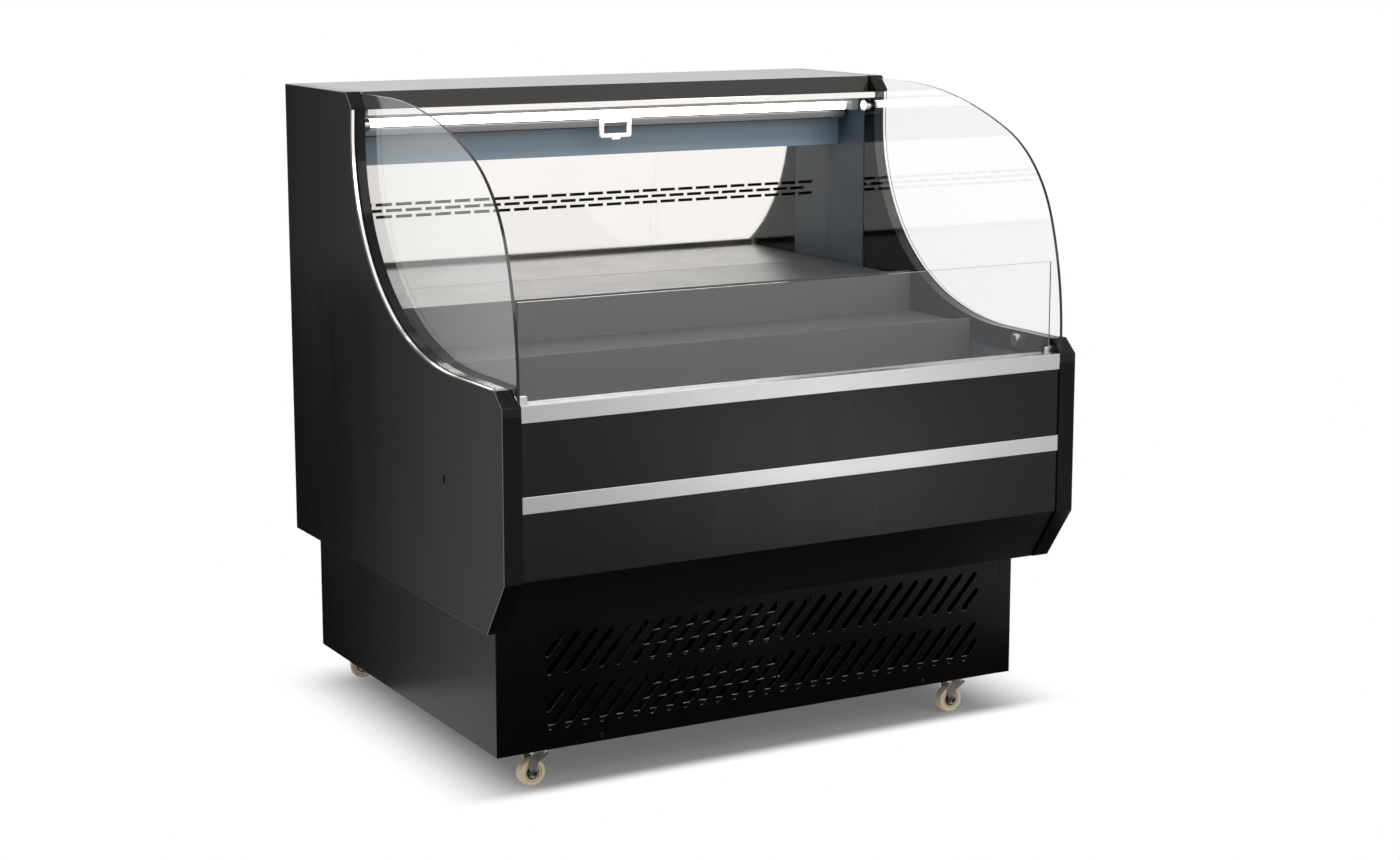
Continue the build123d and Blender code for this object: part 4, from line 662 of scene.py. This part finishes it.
# Each slot or finish: name, kind, colour, roughness, bump strength, values, bump depth.
SURFACES = {
    "panel_black": ("Cabinet paint", "coat", "cabinet", 0.16, 0.08, {"Dust": 0.03, SHINE: 0.1}),
    "front_black": ("Front paint", "coat", "front", 0.3, 0.12, {"Dust": 0.0, SHINE: 0.16}),
    "skirt_black": ("Skirt paint", "coat", "skirt", 0.4, 0.12, {"Dust": 0.0, SHINE: 0.06}),
    "base_black": ("Base paint", "coat", "skirt", 0.24, 0.12,
                   {"Dust": 0.01, "Peel Scale": 700.0, SHINE: 0.15}),
    "grille_paint": ("Grille paint", "coat", "skirt", 0.24, 0.12,
                     {"Dust": 0.01, "Peel Scale": 700.0, SHINE: 0.15}),
    # Painted shade: a near-black matt finish for the dark inside of the base.
    "inner_paint": ("Inner paint", "coat", "skirt", 0.6, 0.12, {"Dust": 0.02, SHINE: 0.04}),
    "canopy_grey": ("Roof paint", "coat", "roof", 0.36, 0.1, {"Dust": 0.06, "Clouding": 0.08}),
    # Painted light: this face takes the lightened slate colour setting.
    "duct_face": ("Duct face", "coat", "duct_lamp_lit", 0.32, 0.02, {"Dust": 0.0, "Clouding": 0.12}),
    "liner_slate": ("Slate liner", "coat", "liner", 0.4, 0.01, {"Dust": 0.0, "Clouding": 0.12}),
    "tub_slate": ("Slate tub", "coat", "liner", 0.42, 0.01, {"Dust": 0.04, "Clouding": 0.15}),
    "deck_grey": ("Deck paint", "coat", "deck", 0.42, 0.01, {"Dust": 0.03, "Clouding": 0.15}),
    "holder_white": ("Lamp holder", "coat", (0.62, 0.64, 0.66), 0.35, 0.05, {"Dust": 0.0}, 0.0002),
    "coil_enamel": ("Coil enamel", "coat", "coil", 0.34, 0.2,
                    {"Dust": 0.1, "Peel Scale": 300.0}, 0.0004),
    "compressor_black": ("Enamel", "coat", 0.01, 0.2, 0.25,
                         {"Peel Scale": 260.0, "Dust": 0.25}, 0.0006),
    "fixing_steel": ("Turned steel", "brushed", (0.5, 0.5, 0.49), 0.2, 0.03,
                     {"Grain": (500.0, 60.0, 60.0)}),
    "trim_brushed": ("Brushed trim", "brushed", "trim", 0.34, 0.06,
                     {"Streaks": 0.22, "Stains": 0.08, **DRAWN_X}),
    "wall_polished": ("Polished wall", "brushed", "polished", 0.05, 0.01,
                      {"Streaks": 0.03, "Stains": 0.04, **DRAWN_X}),
    "blind_grey": ("Blind profile", "brushed", (0.11, 0.11, 0.115), 0.35, 0.05,
                   {"Streaks": 0.2, "Metallic": 0.7, **DRAWN_X}),
    "coil_aluminium": ("Mill fins", "brushed", 0.6, 0.4, 0.1,
                       {"Grain": (300.0, 300.0, 8.0), "Stains": 0.3}),
    "coil_tube": ("Coil tube", "brushed", 0.1, 0.15, 0.04,
                  {"Grain": (4.0, 400.0, 400.0), "Stains": 0.3}),
    # Painted shade: copper darkened to a dull dark brown for the dark inside of the base.
    "pipe_copper": ("Aged copper", "brushed", (0.085, 0.045, 0.032), 0.45, 0.05,
                    {"Grain": (60.0, 60.0, 60.0), "Stains": 0.5}),
    "caster_zinc": ("Zinc plate", "brushed", "caster", 0.34, 0.04,
                    {"Grain": (90.0, 90.0, 90.0), "Streaks": 0.3, "Stains": 0.2}),
    "bright_zinc": ("Bright zinc", "brushed", (0.8, 0.79, 0.76), 0.16, 0.04,
                    {"Grain": (90.0, 90.0, 90.0)}),
    "black_nut": ("Blackened nut", "brushed", (0.035, 0.034, 0.033), 0.22, 0.04,
                  {"Grain": (300.0, 300.0, 300.0)}),
    "galvanised": ("Zinc sheet", "spangle", (0.42, 0.43, 0.44), 0.42, 0.06),
    "rim_polished": ("Polished rim", "moulded", 0.005, 0.12, 0.01, {"Marks": 0.1, SHINE: 0.16}),
    "cap_black": ("Moulded cap", "moulded", (0.003, 0.003, 0.0032), 0.3, 0.06, {SHINE: 0.16}),
    "fascia_black": ("Gloss fascia", "moulded", (0.03, 0.029, 0.029), 0.1, 0.01, {"Marks": 0.1}),
    "honeycomb_grey": ("Cell plastic", "moulded", (0.14, 0.145, 0.15), 0.5, 0.05),
    "lamp_white": ("Lamp tube", "moulded", (0.85, 0.87, 0.9), 0.5, 0.02, None, 0.0003),
    "handle_white": ("Moulded handle", "moulded", (0.88, 0.88, 0.87), 0.3, 0.03, {"Marks": 0.05}),
    "fan_black": ("Fan plastic", "moulded", 0.018, 0.5, 0.08, {"Marks": 0.35}),
    "control_grey": ("Control box", "moulded", (0.05, 0.05, 0.052), 0.55, 0.08),
    "rocker_black": ("Rocker", "moulded", 0.012, 0.25, 0.03),
    "tray_plastic": ("Tray plastic", "moulded", 0.006, 0.6, 0.06, {SHINE: 0.1}),
    "wheel_rubber": ("Wheel rubber", "moulded", "wheel", 0.5, 0.12,
                     {"Marks": 0.35, "Grain Scale": 900.0}, 0.0003),
    "ring_nylon": ("Ring nylon", "moulded", 0.006, 0.25, 0.05),
    "fastener_black": ("Blackened screw", "moulded", 0.003, 0.4, 0.05, {SHINE: 0.2}),
    "plug_plastic": ("Plug plastic", "moulded", 0.002, 0.5, 0.04, {"Marks": 0.1, SHINE: 0.05}),
    "blind_fabric": ("Blind cloth", "weave", "cloth", 0.85, 0.5, {"Sheen Weight": 0.2}),
}

# CAD nodes whose finish isn't the one of their slot.
OWN_FINISH = {
    "canopy_liner": "duct_face",
    "canopy_rail": "wall_polished",
    # The chassis and the fan shroud take the near-black inner finish instead of zinc sheet: painted shade for the
    # dark inside of the base.
    "base_chassis": "inner_paint",
    "condenser_fan_shroud": "inner_paint",
    "drain_tray": "tray_plastic",
    "caster_plates": "bright_zinc",
    "base_front_grille": "grille_paint",
}

FOLDED = (
    "side_panel_left", "side_panel_right", "panel_end_caps", "front_top_trim", "front_mid_trim",
    "front_panel_upper", "front_panel_lower", "front_skirt", "canopy_top", "canopy_fascia",
    "canopy_rail", "blind_handle", "blind_bar", "deck_front", "deck_middle", "deck_rear",
    "base_front_grille", "base_side_panels", "caster_plates",
)

WELD_REACH = 0.00002  # a CAD node's mesh is loose triangles that meet within this
MATERIALS = {}


# ------------------------------------------------------------------ operators
class FRIDGE_OT_finishes(bpy.types.Operator):
    """Give every CAD piece its finish and its folded sheets a rounded edge."""

    bl_idname = "fridge.finishes"
    bl_label = "Cabinet finishes"

    def execute(self, context):
        for name, row in SURFACES.items():
            MATERIALS[name] = surface(*row)
        MATERIALS["glass"] = glass_material()
        for name, rework in REWORKED.items():
            tree = MATERIALS[name].node_tree
            w = Wiring(tree)
            detail = next(node for node in tree.nodes if node.type == "GROUP")
            w.feed_all(tree.nodes["Principled BSDF"], rework(w, detail.outputs))
        slots = {part["node"]: part["material_slot"] for part in frame["record"]["subparts"]}
        for node, piece in frame["nodes"].items():
            paint(piece, MATERIALS[OWN_FINISH.get(node, slots[node])])
        for node in FOLDED:
            piece = frame["nodes"][node]
            weld = piece.modifiers.new("Joined corners", "WELD")
            weld.merge_threshold = WELD_REACH
            soften(piece, context.scene.fridge_sizes.paint_edge)
        return {"FINISHED"}


SCREW_SIDES = 24
HEAD_RIM = 0.25  # shares of the head's radius and rise
HEAD_DOME = 0.3
CROSS_REACH = 1.15
CROSS_PLACE = 0.75
BASE_SCREW_X = 0.349
BASE_SCREW_Y = 0.132
BASE_SCREW_Z = 0.086
REAR_GRILLE_Y = 0.983
REAR_GRILLE_SCREWS = ((-0.51, -0.17, 0.17, 0.51), (0.088, 0.312))
REAR_PANEL_Y = 1.0 - 0.0006  # just inside the overall depth
REAR_PANEL_SCREWS = ((-0.55, -0.275, 0.0, 0.275, 0.55), (0.34, 1.2))


class FRIDGE_OT_screws(bpy.types.Operator):
    """Pan-head screws with a cross recess."""

    bl_idname = "fridge.screws"
    bl_label = "Screws"

    def execute(self, context):
        sizes = context.scene.fridge_sizes
        head = sizes.screw_head
        rise = sizes.screw_rise
        deselect()
        bpy.ops.mesh.primitive_cylinder_add(vertices=SCREW_SIDES, radius=head, depth=rise)
        screw = named("screw")
        edit()
        inset_ends(screw, head * HEAD_RIM)
        bpy.ops.transform.translate(value=(0, 0, rise * HEAD_DOME))
        leave()
        arms = []
        for turn in (0, QUARTER):
            deselect()
            bpy.ops.mesh.primitive_cube_add(size=1, rotation=(0, 0, turn),
                                            location=(0, 0, rise * CROSS_PLACE))
            arm = named("cross arm")
            arm.scale = (head * CROSS_REACH, sizes.cross_slot, rise)
            settle(arm)
            arms.append(arm)
            cut = screw.modifiers.new("Recess", "BOOLEAN")
            cut.operation = "DIFFERENCE"
            cut.object = arm
        settle(screw)
        half = rise / 2
        to_front = Matrix.Rotation(QUARTER, 4, "X")
        to_rear = Matrix.Rotation(-QUARTER, 4, "X")
        spots = [Matrix.Translation((x, FRONT + BASE_SCREW_Y - half, BASE_SCREW_Z)) @ to_front
                 for x in (-BASE_SCREW_X, BASE_SCREW_X)]
        for y, (places, heights) in ((REAR_GRILLE_Y + half, REAR_GRILLE_SCREWS),
                                     (REAR_PANEL_Y - half, REAR_PANEL_SCREWS)):
            spots += [Matrix.Translation((x, FRONT + y, z)) @ to_rear
                      for x in places for z in heights]
        screws = copy_to(screw, spots, "grille_screws")
        drop(screw, *arms)
        rides(screws, ROOT, "fastener_black")
        return {"FINISHED"}


PLUG_SIDES = 32
PLUG_R = 0.0065
PLUG_T = 0.0022
PLUG_STRETCH = 0.006
PLUG_WALL = 0.0016
PLUG_DISH = 0.0008
PLUG_X = 0.5986
PLUG_Y = (0.2445, 0.7855)
PLUG_Z = 0.564
SMALL_ROUNDING = 0.0003
OFF_MIDDLE = 0.00001


class FRIDGE_OT_plugs(bpy.types.Operator):
    """Oval blanking plugs, dished, in the outer skins."""

    bl_idname = "fridge.plugs"
    bl_label = "Blanking plugs"

    def execute(self, context):
        deselect()
        bpy.ops.mesh.primitive_cylinder_add(vertices=PLUG_SIDES, radius=PLUG_R, depth=PLUG_T)
        plug = named("plug")
        edit()
        for sign in (-1, 1):
            shape = bmesh.from_edit_mesh(plug.data)
            for vertex in shape.verts:
                vertex.select_set(vertex.co.x * sign > OFF_MIDDLE)
            shape.select_flush_mode()
            bmesh.update_edit_mesh(plug.data)
            bpy.ops.transform.translate(value=(sign * PLUG_STRETCH, 0, 0))
        inset_ends(plug, PLUG_WALL)
        bpy.ops.transform.translate(value=(0, 0, -PLUG_DISH))
        leave()
        soften(plug, SMALL_ROUNDING)
        settle(plug)
        spots = [Matrix.Translation((side * PLUG_X, FRONT + y, PLUG_Z))
                 @ Matrix.Rotation(side * QUARTER, 4, "Y")
                 for side in (-1, 1) for y in PLUG_Y]
        plugs = copy_to(plug, spots, "side_plugs")
        drop(plug)
        rides(plugs, ROOT, "fastener_black", "plug_plastic", ["panel_fasteners"])
        return {"FINISHED"}


# The condenser and the pan's hem, in millimetres; y counts back from the front.
COIL_X = (-247.0, 37.0)
FIN_T = 0.35
FIN_BEVEL = 0.12
FIN_Y = (171, 199)
FIN_Z = (101, 281)
END_PLATE_T = 2
END_PLATE_BEVEL = 0.5
END_PLATE_Y = (160, 200)
END_PLATE_Z = (77, 285)
TUBE_Y = (166, 188)
TUBE_Z = 130.5
TUBE_ROWS = 6
TUBE_PITCH = 25.4
TUBE_SIDES = 16
BEND_REACH = 8
BEND_STEPS = 24
HEM_X = (-550, 550)
HEM_Y = (134.3, 137.3)
HEM_Z = (116.5, 120.6)
HEM_BEVEL = 1.3
HEM_STEPS = 4
HEM_SMOOTH = 50  # degrees
ROUND_SMOOTH = 40


class FRIDGE_OT_condenser(bpy.types.Operator):
    """Condenser with close fins, through tubes and return bends."""

    bl_idname = "fridge.condenser"
    bl_label = "Condenser coil"

    def execute(self, context):
        sizes = context.scene.fridge_sizes
        left, right = COIL_X
        fin = bevelled_block("condenser_fins", (left, left + FIN_T), FIN_Y, FIN_Z, FIN_BEVEL)
        repeat_x(fin, int((right - left) * MM / sizes.fin_pitch), sizes.fin_pitch)
        rides(fin, ROOT, "coil_aluminium", "coil_enamel", ["condenser_coil"])
        ends = [bevelled_block("end plate", (x, x + END_PLATE_T), END_PLATE_Y, END_PLATE_Z,
                               END_PLATE_BEVEL, BEVEL_STEPS)
                for x in (left - END_PLATE_T, right)]
        plates = joined(ends, "condenser_end_plates")
        rides(plates, ROOT, "coil_aluminium", "coil_enamel")
        turn_x = right + BEND_REACH
        lines = []
        for y in TUBE_Y:
            deselect()
            bpy.ops.mesh.primitive_cylinder_add(
                vertices=TUBE_SIDES, radius=sizes.tube_radius, depth=(turn_x - left) * MM,
                location=((left + turn_x) / 2 * MM, FRONT + y * MM, TUBE_Z * MM),
                rotation=(0, QUARTER, 0))
            lines.append(named("tube"))
        deselect()
        bpy.ops.mesh.primitive_torus_add(
            major_radius=(TUBE_Y[1] - TUBE_Y[0]) / 2 * MM, minor_radius=sizes.tube_radius,
            major_segments=BEND_STEPS, minor_segments=TUBE_SIDES,
            location=(turn_x * MM, FRONT + sum(TUBE_Y) / 2 * MM, TUBE_Z * MM))
        lines.append(named("bend"))
        edit(everything=True)
        bpy.ops.mesh.bisect(plane_co=(turn_x * MM, 0, 0), plane_no=(1, 0, 0),
                            clear_inner=True, use_fill=True)
        leave()
        row = joined(lines, "tube row")
        settle(row)
        spots = [Matrix.Translation((0, 0, n * TUBE_PITCH * MM)) for n in range(TUBE_ROWS)]
        coil = copy_to(row, spots, "condenser_tubes")
        drop(row)
        smooth(ROUND_SMOOTH)
        rides(coil, ROOT, "coil_aluminium", "coil_tube")
        return {"FINISHED"}


class FRIDGE_OT_pan_hem(bpy.types.Operator):
    """Rolled hem along the front lip of the floor pan, seen through the vents."""

    bl_idname = "fridge.pan_hem"
    bl_label = "Pan hem"

    def execute(self, context):
        hem = bevelled_block("pan_hem", HEM_X, HEM_Y, HEM_Z, HEM_BEVEL, HEM_STEPS)
        smooth(HEM_SMOOTH)
        rides(hem, ROOT, "galvanised")
        return {"FINISHED"}


def axle_of(corner):
    """Middle of a caster wheel and the direction of its axle."""
    low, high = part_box("caster_wheel_" + corner)
    joint = next(j for j in frame["joints"] if j["name"] == "wheel_spin_" + corner)
    return (low + high) / 2, Vector(joint["axis"]).normalized()


def on_axles(blank, name, body, slot, finish, reach, turn_out):
    """Copies of a blank on both sides of each caster wheel, riding on that corner's body."""
    for corner in CORNERS:
        middle, axle = axle_of(corner)
        spots = []
        for side in (-1, 1):
            outward = axle * side if turn_out else axle
            turn = outward.to_track_quat("Z", "Y").to_matrix().to_4x4()
            spots.append(Matrix.Translation(middle + axle * side * reach) @ turn)
        pair = copy_to(blank, spots, name + corner)
        smooth(ROUND_SMOOTH)
        rides(pair, body + corner, slot, finish)
    drop(blank)


RING_SIDES = 40
RING_R = 0.0125
RING_T = 0.0012
RING_WALL = 0.0042
RING_REACH = 0.0104


class FRIDGE_OT_axle_rings(bpy.types.Operator):
    """Black hub rings of the casters, between the wheel and its fork."""

    bl_idname = "fridge.axle_rings"
    bl_label = "Caster rings"

    def execute(self, context):
        deselect()
        bpy.ops.mesh.primitive_cylinder_add(vertices=RING_SIDES, radius=RING_R, depth=RING_T)
        ring = named("ring")
        pierce(ring, RING_WALL)
        soften(ring, SMALL_ROUNDING)
        settle(ring)
        on_axles(ring, "hub_ring_", "caster_wheel_", "wheel_rubber", "ring_nylon", RING_REACH,
                 turn_out=False)
        return {"FINISHED"}


NUT_R = 0.0074
NUT_T = 0.0036
NUT_RIM = 0.0016
NUT_BOSS = 0.0008
NUT_ROUNDING = 0.0004


class FRIDGE_OT_axle_caps(bpy.types.Operator):
    """Blackened nuts over the ends of the caster axles, outside the fork."""

    bl_idname = "fridge.axle_caps"
    bl_label = "Axle nuts"

    def execute(self, context):
        deselect()
        bpy.ops.mesh.primitive_cylinder_add(vertices=HEXAGON, radius=NUT_R, depth=NUT_T)
        nut = named("nut")
        edit()
        inset_ends(nut, NUT_RIM)
        bpy.ops.mesh.extrude_region_move(TRANSFORM_OT_translate={"value": (0, 0, NUT_BOSS)})
        leave()
        soften(nut, NUT_ROUNDING)
        settle(nut)
        fork_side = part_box("caster_fork_front_left")[1].y
        reach = fork_side - axle_of("front_left")[0].y - NUT_T / 2
        on_axles(nut, "axle_nut_", "caster_fork_", "caster_zinc", "black_nut", reach,
                 turn_out=True)
        return {"FINISHED"}


FRAME_WALL = 0.0015
CELL_SHARE = 0.9  # of the frame's height
HEXAGON_ROWS = 1.5  # rows of touching hexagons, in corner radii


class FRIDGE_OT_straightener(bpy.types.Operator):
    """Air straightener: a frame filled with small six-sided cells."""

    bl_idname = "fridge.straightener"
    bl_label = "Air straightener"

    def execute(self, context):
        sizes = context.scene.fridge_sizes
        low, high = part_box("air_honeycomb")
        wide, deep, tall = high - low
        deselect()
        bpy.ops.mesh.primitive_cube_add(size=1, location=(low + high) / 2)
        rim = named("straightener_frame")
        rim.scale = (wide, deep, tall)
        settle(rim)
        pierce(rim, FRAME_WALL)
        rides(rim, ROOT, "honeycomb_grey", replaced=["air_honeycomb"])
        across = sizes.cell
        corner = across / math.sqrt(3)
        pitch_y = corner * HEXAGON_ROWS
        rows = int((deep - 2 * FRAME_WALL - 2 * corner) / pitch_y) + 1
        count = int((wide - 2 * FRAME_WALL - across) / across)
        start = (low + high) / 2
        start -= Vector(((count - 1) * across / 2, (rows - 1) * pitch_y / 2, 0))
        deselect()
        bpy.ops.mesh.primitive_cylinder_add(vertices=HEXAGON, radius=corner,
                                            depth=tall * CELL_SHARE, end_fill_type="NOTHING")
        cell = named("cell")
        wall = cell.modifiers.new("Wall", "SOLIDIFY")
        wall.thickness = sizes.cell_wall
        wall.offset = -1
        settle(cell)
        spots = []
        for row in range(rows):
            shift = across / 2 if row % 2 else 0
            spots.append(Matrix.Translation(start + Vector((shift, row * pitch_y, 0))))
        cells = copy_to(cell, spots, "straightener_cells")
        drop(cell)
        repeat_x(cells, count - 1, across)
        rides(cells, ROOT, "honeycomb_grey")
        return {"FINISHED"}


CLOTH_COLUMNS = 90
CLOTH_ROWS = 48


class FRIDGE_OT_blind_cloth(bpy.types.Operator):
    """Cloth of the night blind, from its slot to the pull bar."""

    bl_idname = "fridge.blind_cloth"
    bl_label = "Blind cloth"

    def execute(self, context):
        low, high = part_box("blind_cloth")
        wide = high.x - low.x
        tall = high.z - low.z
        deselect()
        bpy.ops.mesh.primitive_grid_add(
            x_subdivisions=CLOTH_COLUMNS, y_subdivisions=CLOTH_ROWS, size=1,
            location=(low + high) / 2, rotation=(QUARTER, 0, 0))
        cloth = named("blind_cloth_panel")
        cloth.scale = (wide, tall, 1)
        settle(cloth)
        edit(everything=True)
        bpy.ops.mesh.normals_make_consistent(inside=False)
        leave()
        wall = cloth.modifiers.new("Thickness", "SOLIDIFY")
        wall.thickness = context.scene.fridge_sizes.cloth_wall
        wall.offset = 0
        settle(cloth)
        paint(cloth, MATERIALS["blind_fabric"])
        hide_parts("blind_cloth")
        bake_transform(cloth)
        return {"FINISHED"}


# ------------------------------------------------------------------ studio
FLOOR_SIZE = 60
FLOOR_DROP = 0.0005
PAPER = (0.86, 0.86, 0.86)
PAINTED_SHADOW_PAPER = (0.3, 0.3, 0.3)
PAINTED_SHADOW_SHARE = 0.88
# Painted shadow round the fridge: where the seen floor turns from white to darkened paper; axis, white end and
# paper end in metres.
PAINTED_SHADOW_EDGES = (
    ("X", -0.66, -0.45),
    ("X", 0.73, 0.49),
    ("Y", -0.395, -0.335),
    ("Y", 0.6, 0.42),
)

# Lamps: name, setting, size, place and aim.
LAMPS = (
    ("front_lamp", "key", 2.2, (1.6, -3.4, 2.6), (0.1, -0.3, 0.6)),
    ("side_lamp", "side", 1.8, (-3.2, 0.8, 2.2), (-0.5, -0.2, 0.6)),
)

# Cards: name, setting, width, length, place, turn in degrees, metres that the left edge fades.
CARDS = (
    # The side and skirt cards lie on the floor as dark flags and stand in for the floor's shadow where the paint
    # mirrors the floor: partly painted shadow.
    ("side_card", "shade", 1.7, 8.6, (-2.02, 4.43, 0.001), (0, 0, 23.5), 0.65),
    ("back_card", "shade", 2.8, 4.0, (-2.37, 6.84, 2.0), (90, 0, 23.5), 1.0),
    ("skirt_card", "shade", 1.7, 1.3, (0.05, -1.05, 0.001), (0, 0, 0), 0.0),
    ("front_card", "glow", 0.6, 1.8, (1.5, -2.9, 0.002), (0, 0, 32), 0.0),
)
RIGHT_FADE = 0.4

CAMERA_PLACE = (-2.3557, -4.3057, 1.5097)
CAMERA_YAW = 29.31
CAMERA_PITCH = 9.47
CAMERA_FOCUS = 2541.0  # in pixels of the photograph
CAMERA_SHIFT = -0.05
PHOTO_WIDTH = 1400
SENSOR = 36


class FRIDGE_OT_stage(bpy.types.Operator):
    """Pale floor, even studio light and the camera."""

    bl_idname = "fridge.stage"
    bl_label = "Studio"

    def execute(self, context):
        scene = context.scene
        self.floor()
        self.sky(scene)
        self.lamps(scene.fridge_stage)
        for card in CARDS:
            self.card(scene.fridge_stage, *card)
        self.camera(scene)
        scene.view_settings.view_transform = "Standard"
        return {"FINISHED"}

    def floor(self):
        """Paper that takes the shadow near the fridge and is seen as plain white further out; near the fridge the
        camera sees it darker, a painted shadow.
        """
        deselect()
        bpy.ops.mesh.primitive_plane_add(size=FLOOR_SIZE, location=(0, 0, -FLOOR_DROP))
        floor = named("studio_floor")
        material, w = new_material("Studio floor", plain=True)
        rays = w.node("LightPath").outputs
        seen = rays["Is Camera Ray"]
        place = w.axes(w.point())
        shade = 1.0
        for axis, white_end, paper_end in PAINTED_SHADOW_EDGES:
            shade = w.times(shade, w.step(place[axis], white_end, paper_end))
        # Painted shadow and light: inside the rectangle the camera sees darkened paper under a faint white glow.
        fade = w.times(w.rest(w.times(shade, PAINTED_SHADOW_SHARE)), seen)
        paper = w.node("BsdfDiffuse")
        w.feed(paper.inputs["Color"], w.mix(seen, PAPER, PAINTED_SHADOW_PAPER))
        white = w.node("Emission")
        blend = w.node("MixShader")
        w.feed_all(blend, {0: w.math("MAXIMUM", mirrored(w, rays), fade),
                           1: paper.outputs[0], 2: white.outputs[0]})
        w.feed(w.node("OutputMaterial").inputs["Surface"], blend.outputs[0])
        paint(floor, material)

    def sky(self, scene):
        """Even light on the fridge, white to the camera and in mirrors and glass."""
        world = bpy.data.worlds.new("Studio sky")
        world.use_nodes = True
        w = Wiring(world.node_tree)
        rays = w.node("LightPath").outputs
        seen = w.math("MAXIMUM", rays["Is Camera Ray"], mirrored(w, rays))
        even = scene.fridge_stage.sky
        w.feed_all(w.tree.nodes["Background"], {
            "Color": (1, 1, 1),
            "Strength": w.math("ADD", w.times(seen, 1.0 - even), even),
        })
        scene.world = world

    def lamps(self, stage):
        """Two large square lamps, over the front and beside the left end."""
        for name, setting, size, place, aim in LAMPS:
            deselect()
            bpy.ops.object.light_add(type="AREA", location=place)
            lamp = bpy.context.object
            lamp.name = name
            lamp.data.energy = getattr(stage, setting)
            lamp.data.shape = "SQUARE"
            lamp.data.size = size
            direction = Vector(aim) - Vector(place)
            lamp.rotation_euler = direction.to_track_quat("-Z", "Y").to_euler()

    def card(self, stage, name, setting, width, length, place, turn, left_fade):
        """A card seen only in reflections: dark for the paint, pale for the front."""
        strength = getattr(stage, setting)
        deselect()
        bpy.ops.mesh.primitive_plane_add(size=1, location=place,
                                         rotation=[math.radians(angle) for angle in turn])
        card = named(name)
        card.scale = (width, length, 1)
        settle(card)
        material, w = new_material(name, plain=True)
        if left_fade:
            across = w.axes(w.node("TexCoord").outputs["UV"])["X"]
            inside = w.times(w.step(across, 0.0, left_fade / width),
                             w.step(across, 1.0, 1.0 - RIGHT_FADE / width))
            strength = w.math("ADD", w.times(inside, strength - 1.0), 1.0)
        glow = w.node("Emission")
        w.feed(glow.inputs["Strength"], strength)
        w.feed(w.node("OutputMaterial").inputs["Surface"], glow.outputs[0])
        paint(card, material)
        card.visible_camera = False
        card.visible_diffuse = False
        card.visible_transmission = False
        card.visible_shadow = False

    def camera(self, scene):
        """Camera at the photograph's angle."""
        deselect()
        bpy.ops.object.camera_add(location=CAMERA_PLACE)
        camera = bpy.context.object
        yaw = math.radians(CAMERA_YAW)
        pitch = math.radians(CAMERA_PITCH)
        ahead = Vector((math.sin(yaw) * math.cos(pitch), math.cos(yaw) * math.cos(pitch),
                        -math.sin(pitch)))
        camera.rotation_euler = ahead.to_track_quat("-Z", "Y").to_euler()
        camera.data.sensor_width = SENSOR
        camera.data.lens = SENSOR * CAMERA_FOCUS / PHOTO_WIDTH
        camera.data.shift_y = CAMERA_SHIFT
        scene.camera = camera


# ------------------------------------------------------------------ registration
PIECES = (
    FRIDGE_OT_finishes,
    FRIDGE_OT_screws,
    FRIDGE_OT_plugs,
    FRIDGE_OT_condenser,
    FRIDGE_OT_pan_hem,
    FRIDGE_OT_axle_rings,
    FRIDGE_OT_axle_caps,
    FRIDGE_OT_straightener,
    FRIDGE_OT_blind_cloth,
    FRIDGE_OT_stage,
)


class FRIDGE_PT_panel(bpy.types.Panel):
    """Sidebar panel with the fridge's settings and pieces."""

    bl_idname = "FRIDGE_PT_panel"
    bl_label = "Multideck fridge"
    bl_space_type = "VIEW_3D"
    bl_region_type = "UI"
    bl_category = "Fridge"

    def draw(self, context):
        layout = self.layout
        for settings in (context.scene.fridge_colours, context.scene.fridge_sizes,
                         context.scene.fridge_stage):
            box = layout.box()
            for name in settings.__annotations__:
                box.prop(settings, name)
        for piece in PIECES:
            layout.operator(piece.bl_idname)


CLASSES = (FridgeColours, FridgeSizes, FridgeStage, *PIECES, FRIDGE_PT_panel)


def register():
    for item in CLASSES:
        bpy.utils.register_class(item)
    bpy.types.Scene.fridge_colours = bpy.props.PointerProperty(type=FridgeColours)
    bpy.types.Scene.fridge_sizes = bpy.props.PointerProperty(type=FridgeSizes)
    bpy.types.Scene.fridge_stage = bpy.props.PointerProperty(type=FridgeStage)


def unregister():
    for name in ("fridge_stage", "fridge_sizes", "fridge_colours"):
        delattr(bpy.types.Scene, name)
    for item in reversed(CLASSES):
        bpy.utils.unregister_class(item)


def main():
    """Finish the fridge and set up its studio."""
    register()
    bpy.ops.fridge.finishes()
    bpy.ops.fridge.screws()
    bpy.ops.fridge.plugs()
    bpy.ops.fridge.condenser()
    bpy.ops.fridge.pan_hem()
    bpy.ops.fridge.axle_rings()
    bpy.ops.fridge.axle_caps()
    bpy.ops.fridge.straightener()
    bpy.ops.fridge.blind_cloth()
    bpy.ops.fridge.stage()


if __name__ == "__main__":
    main()
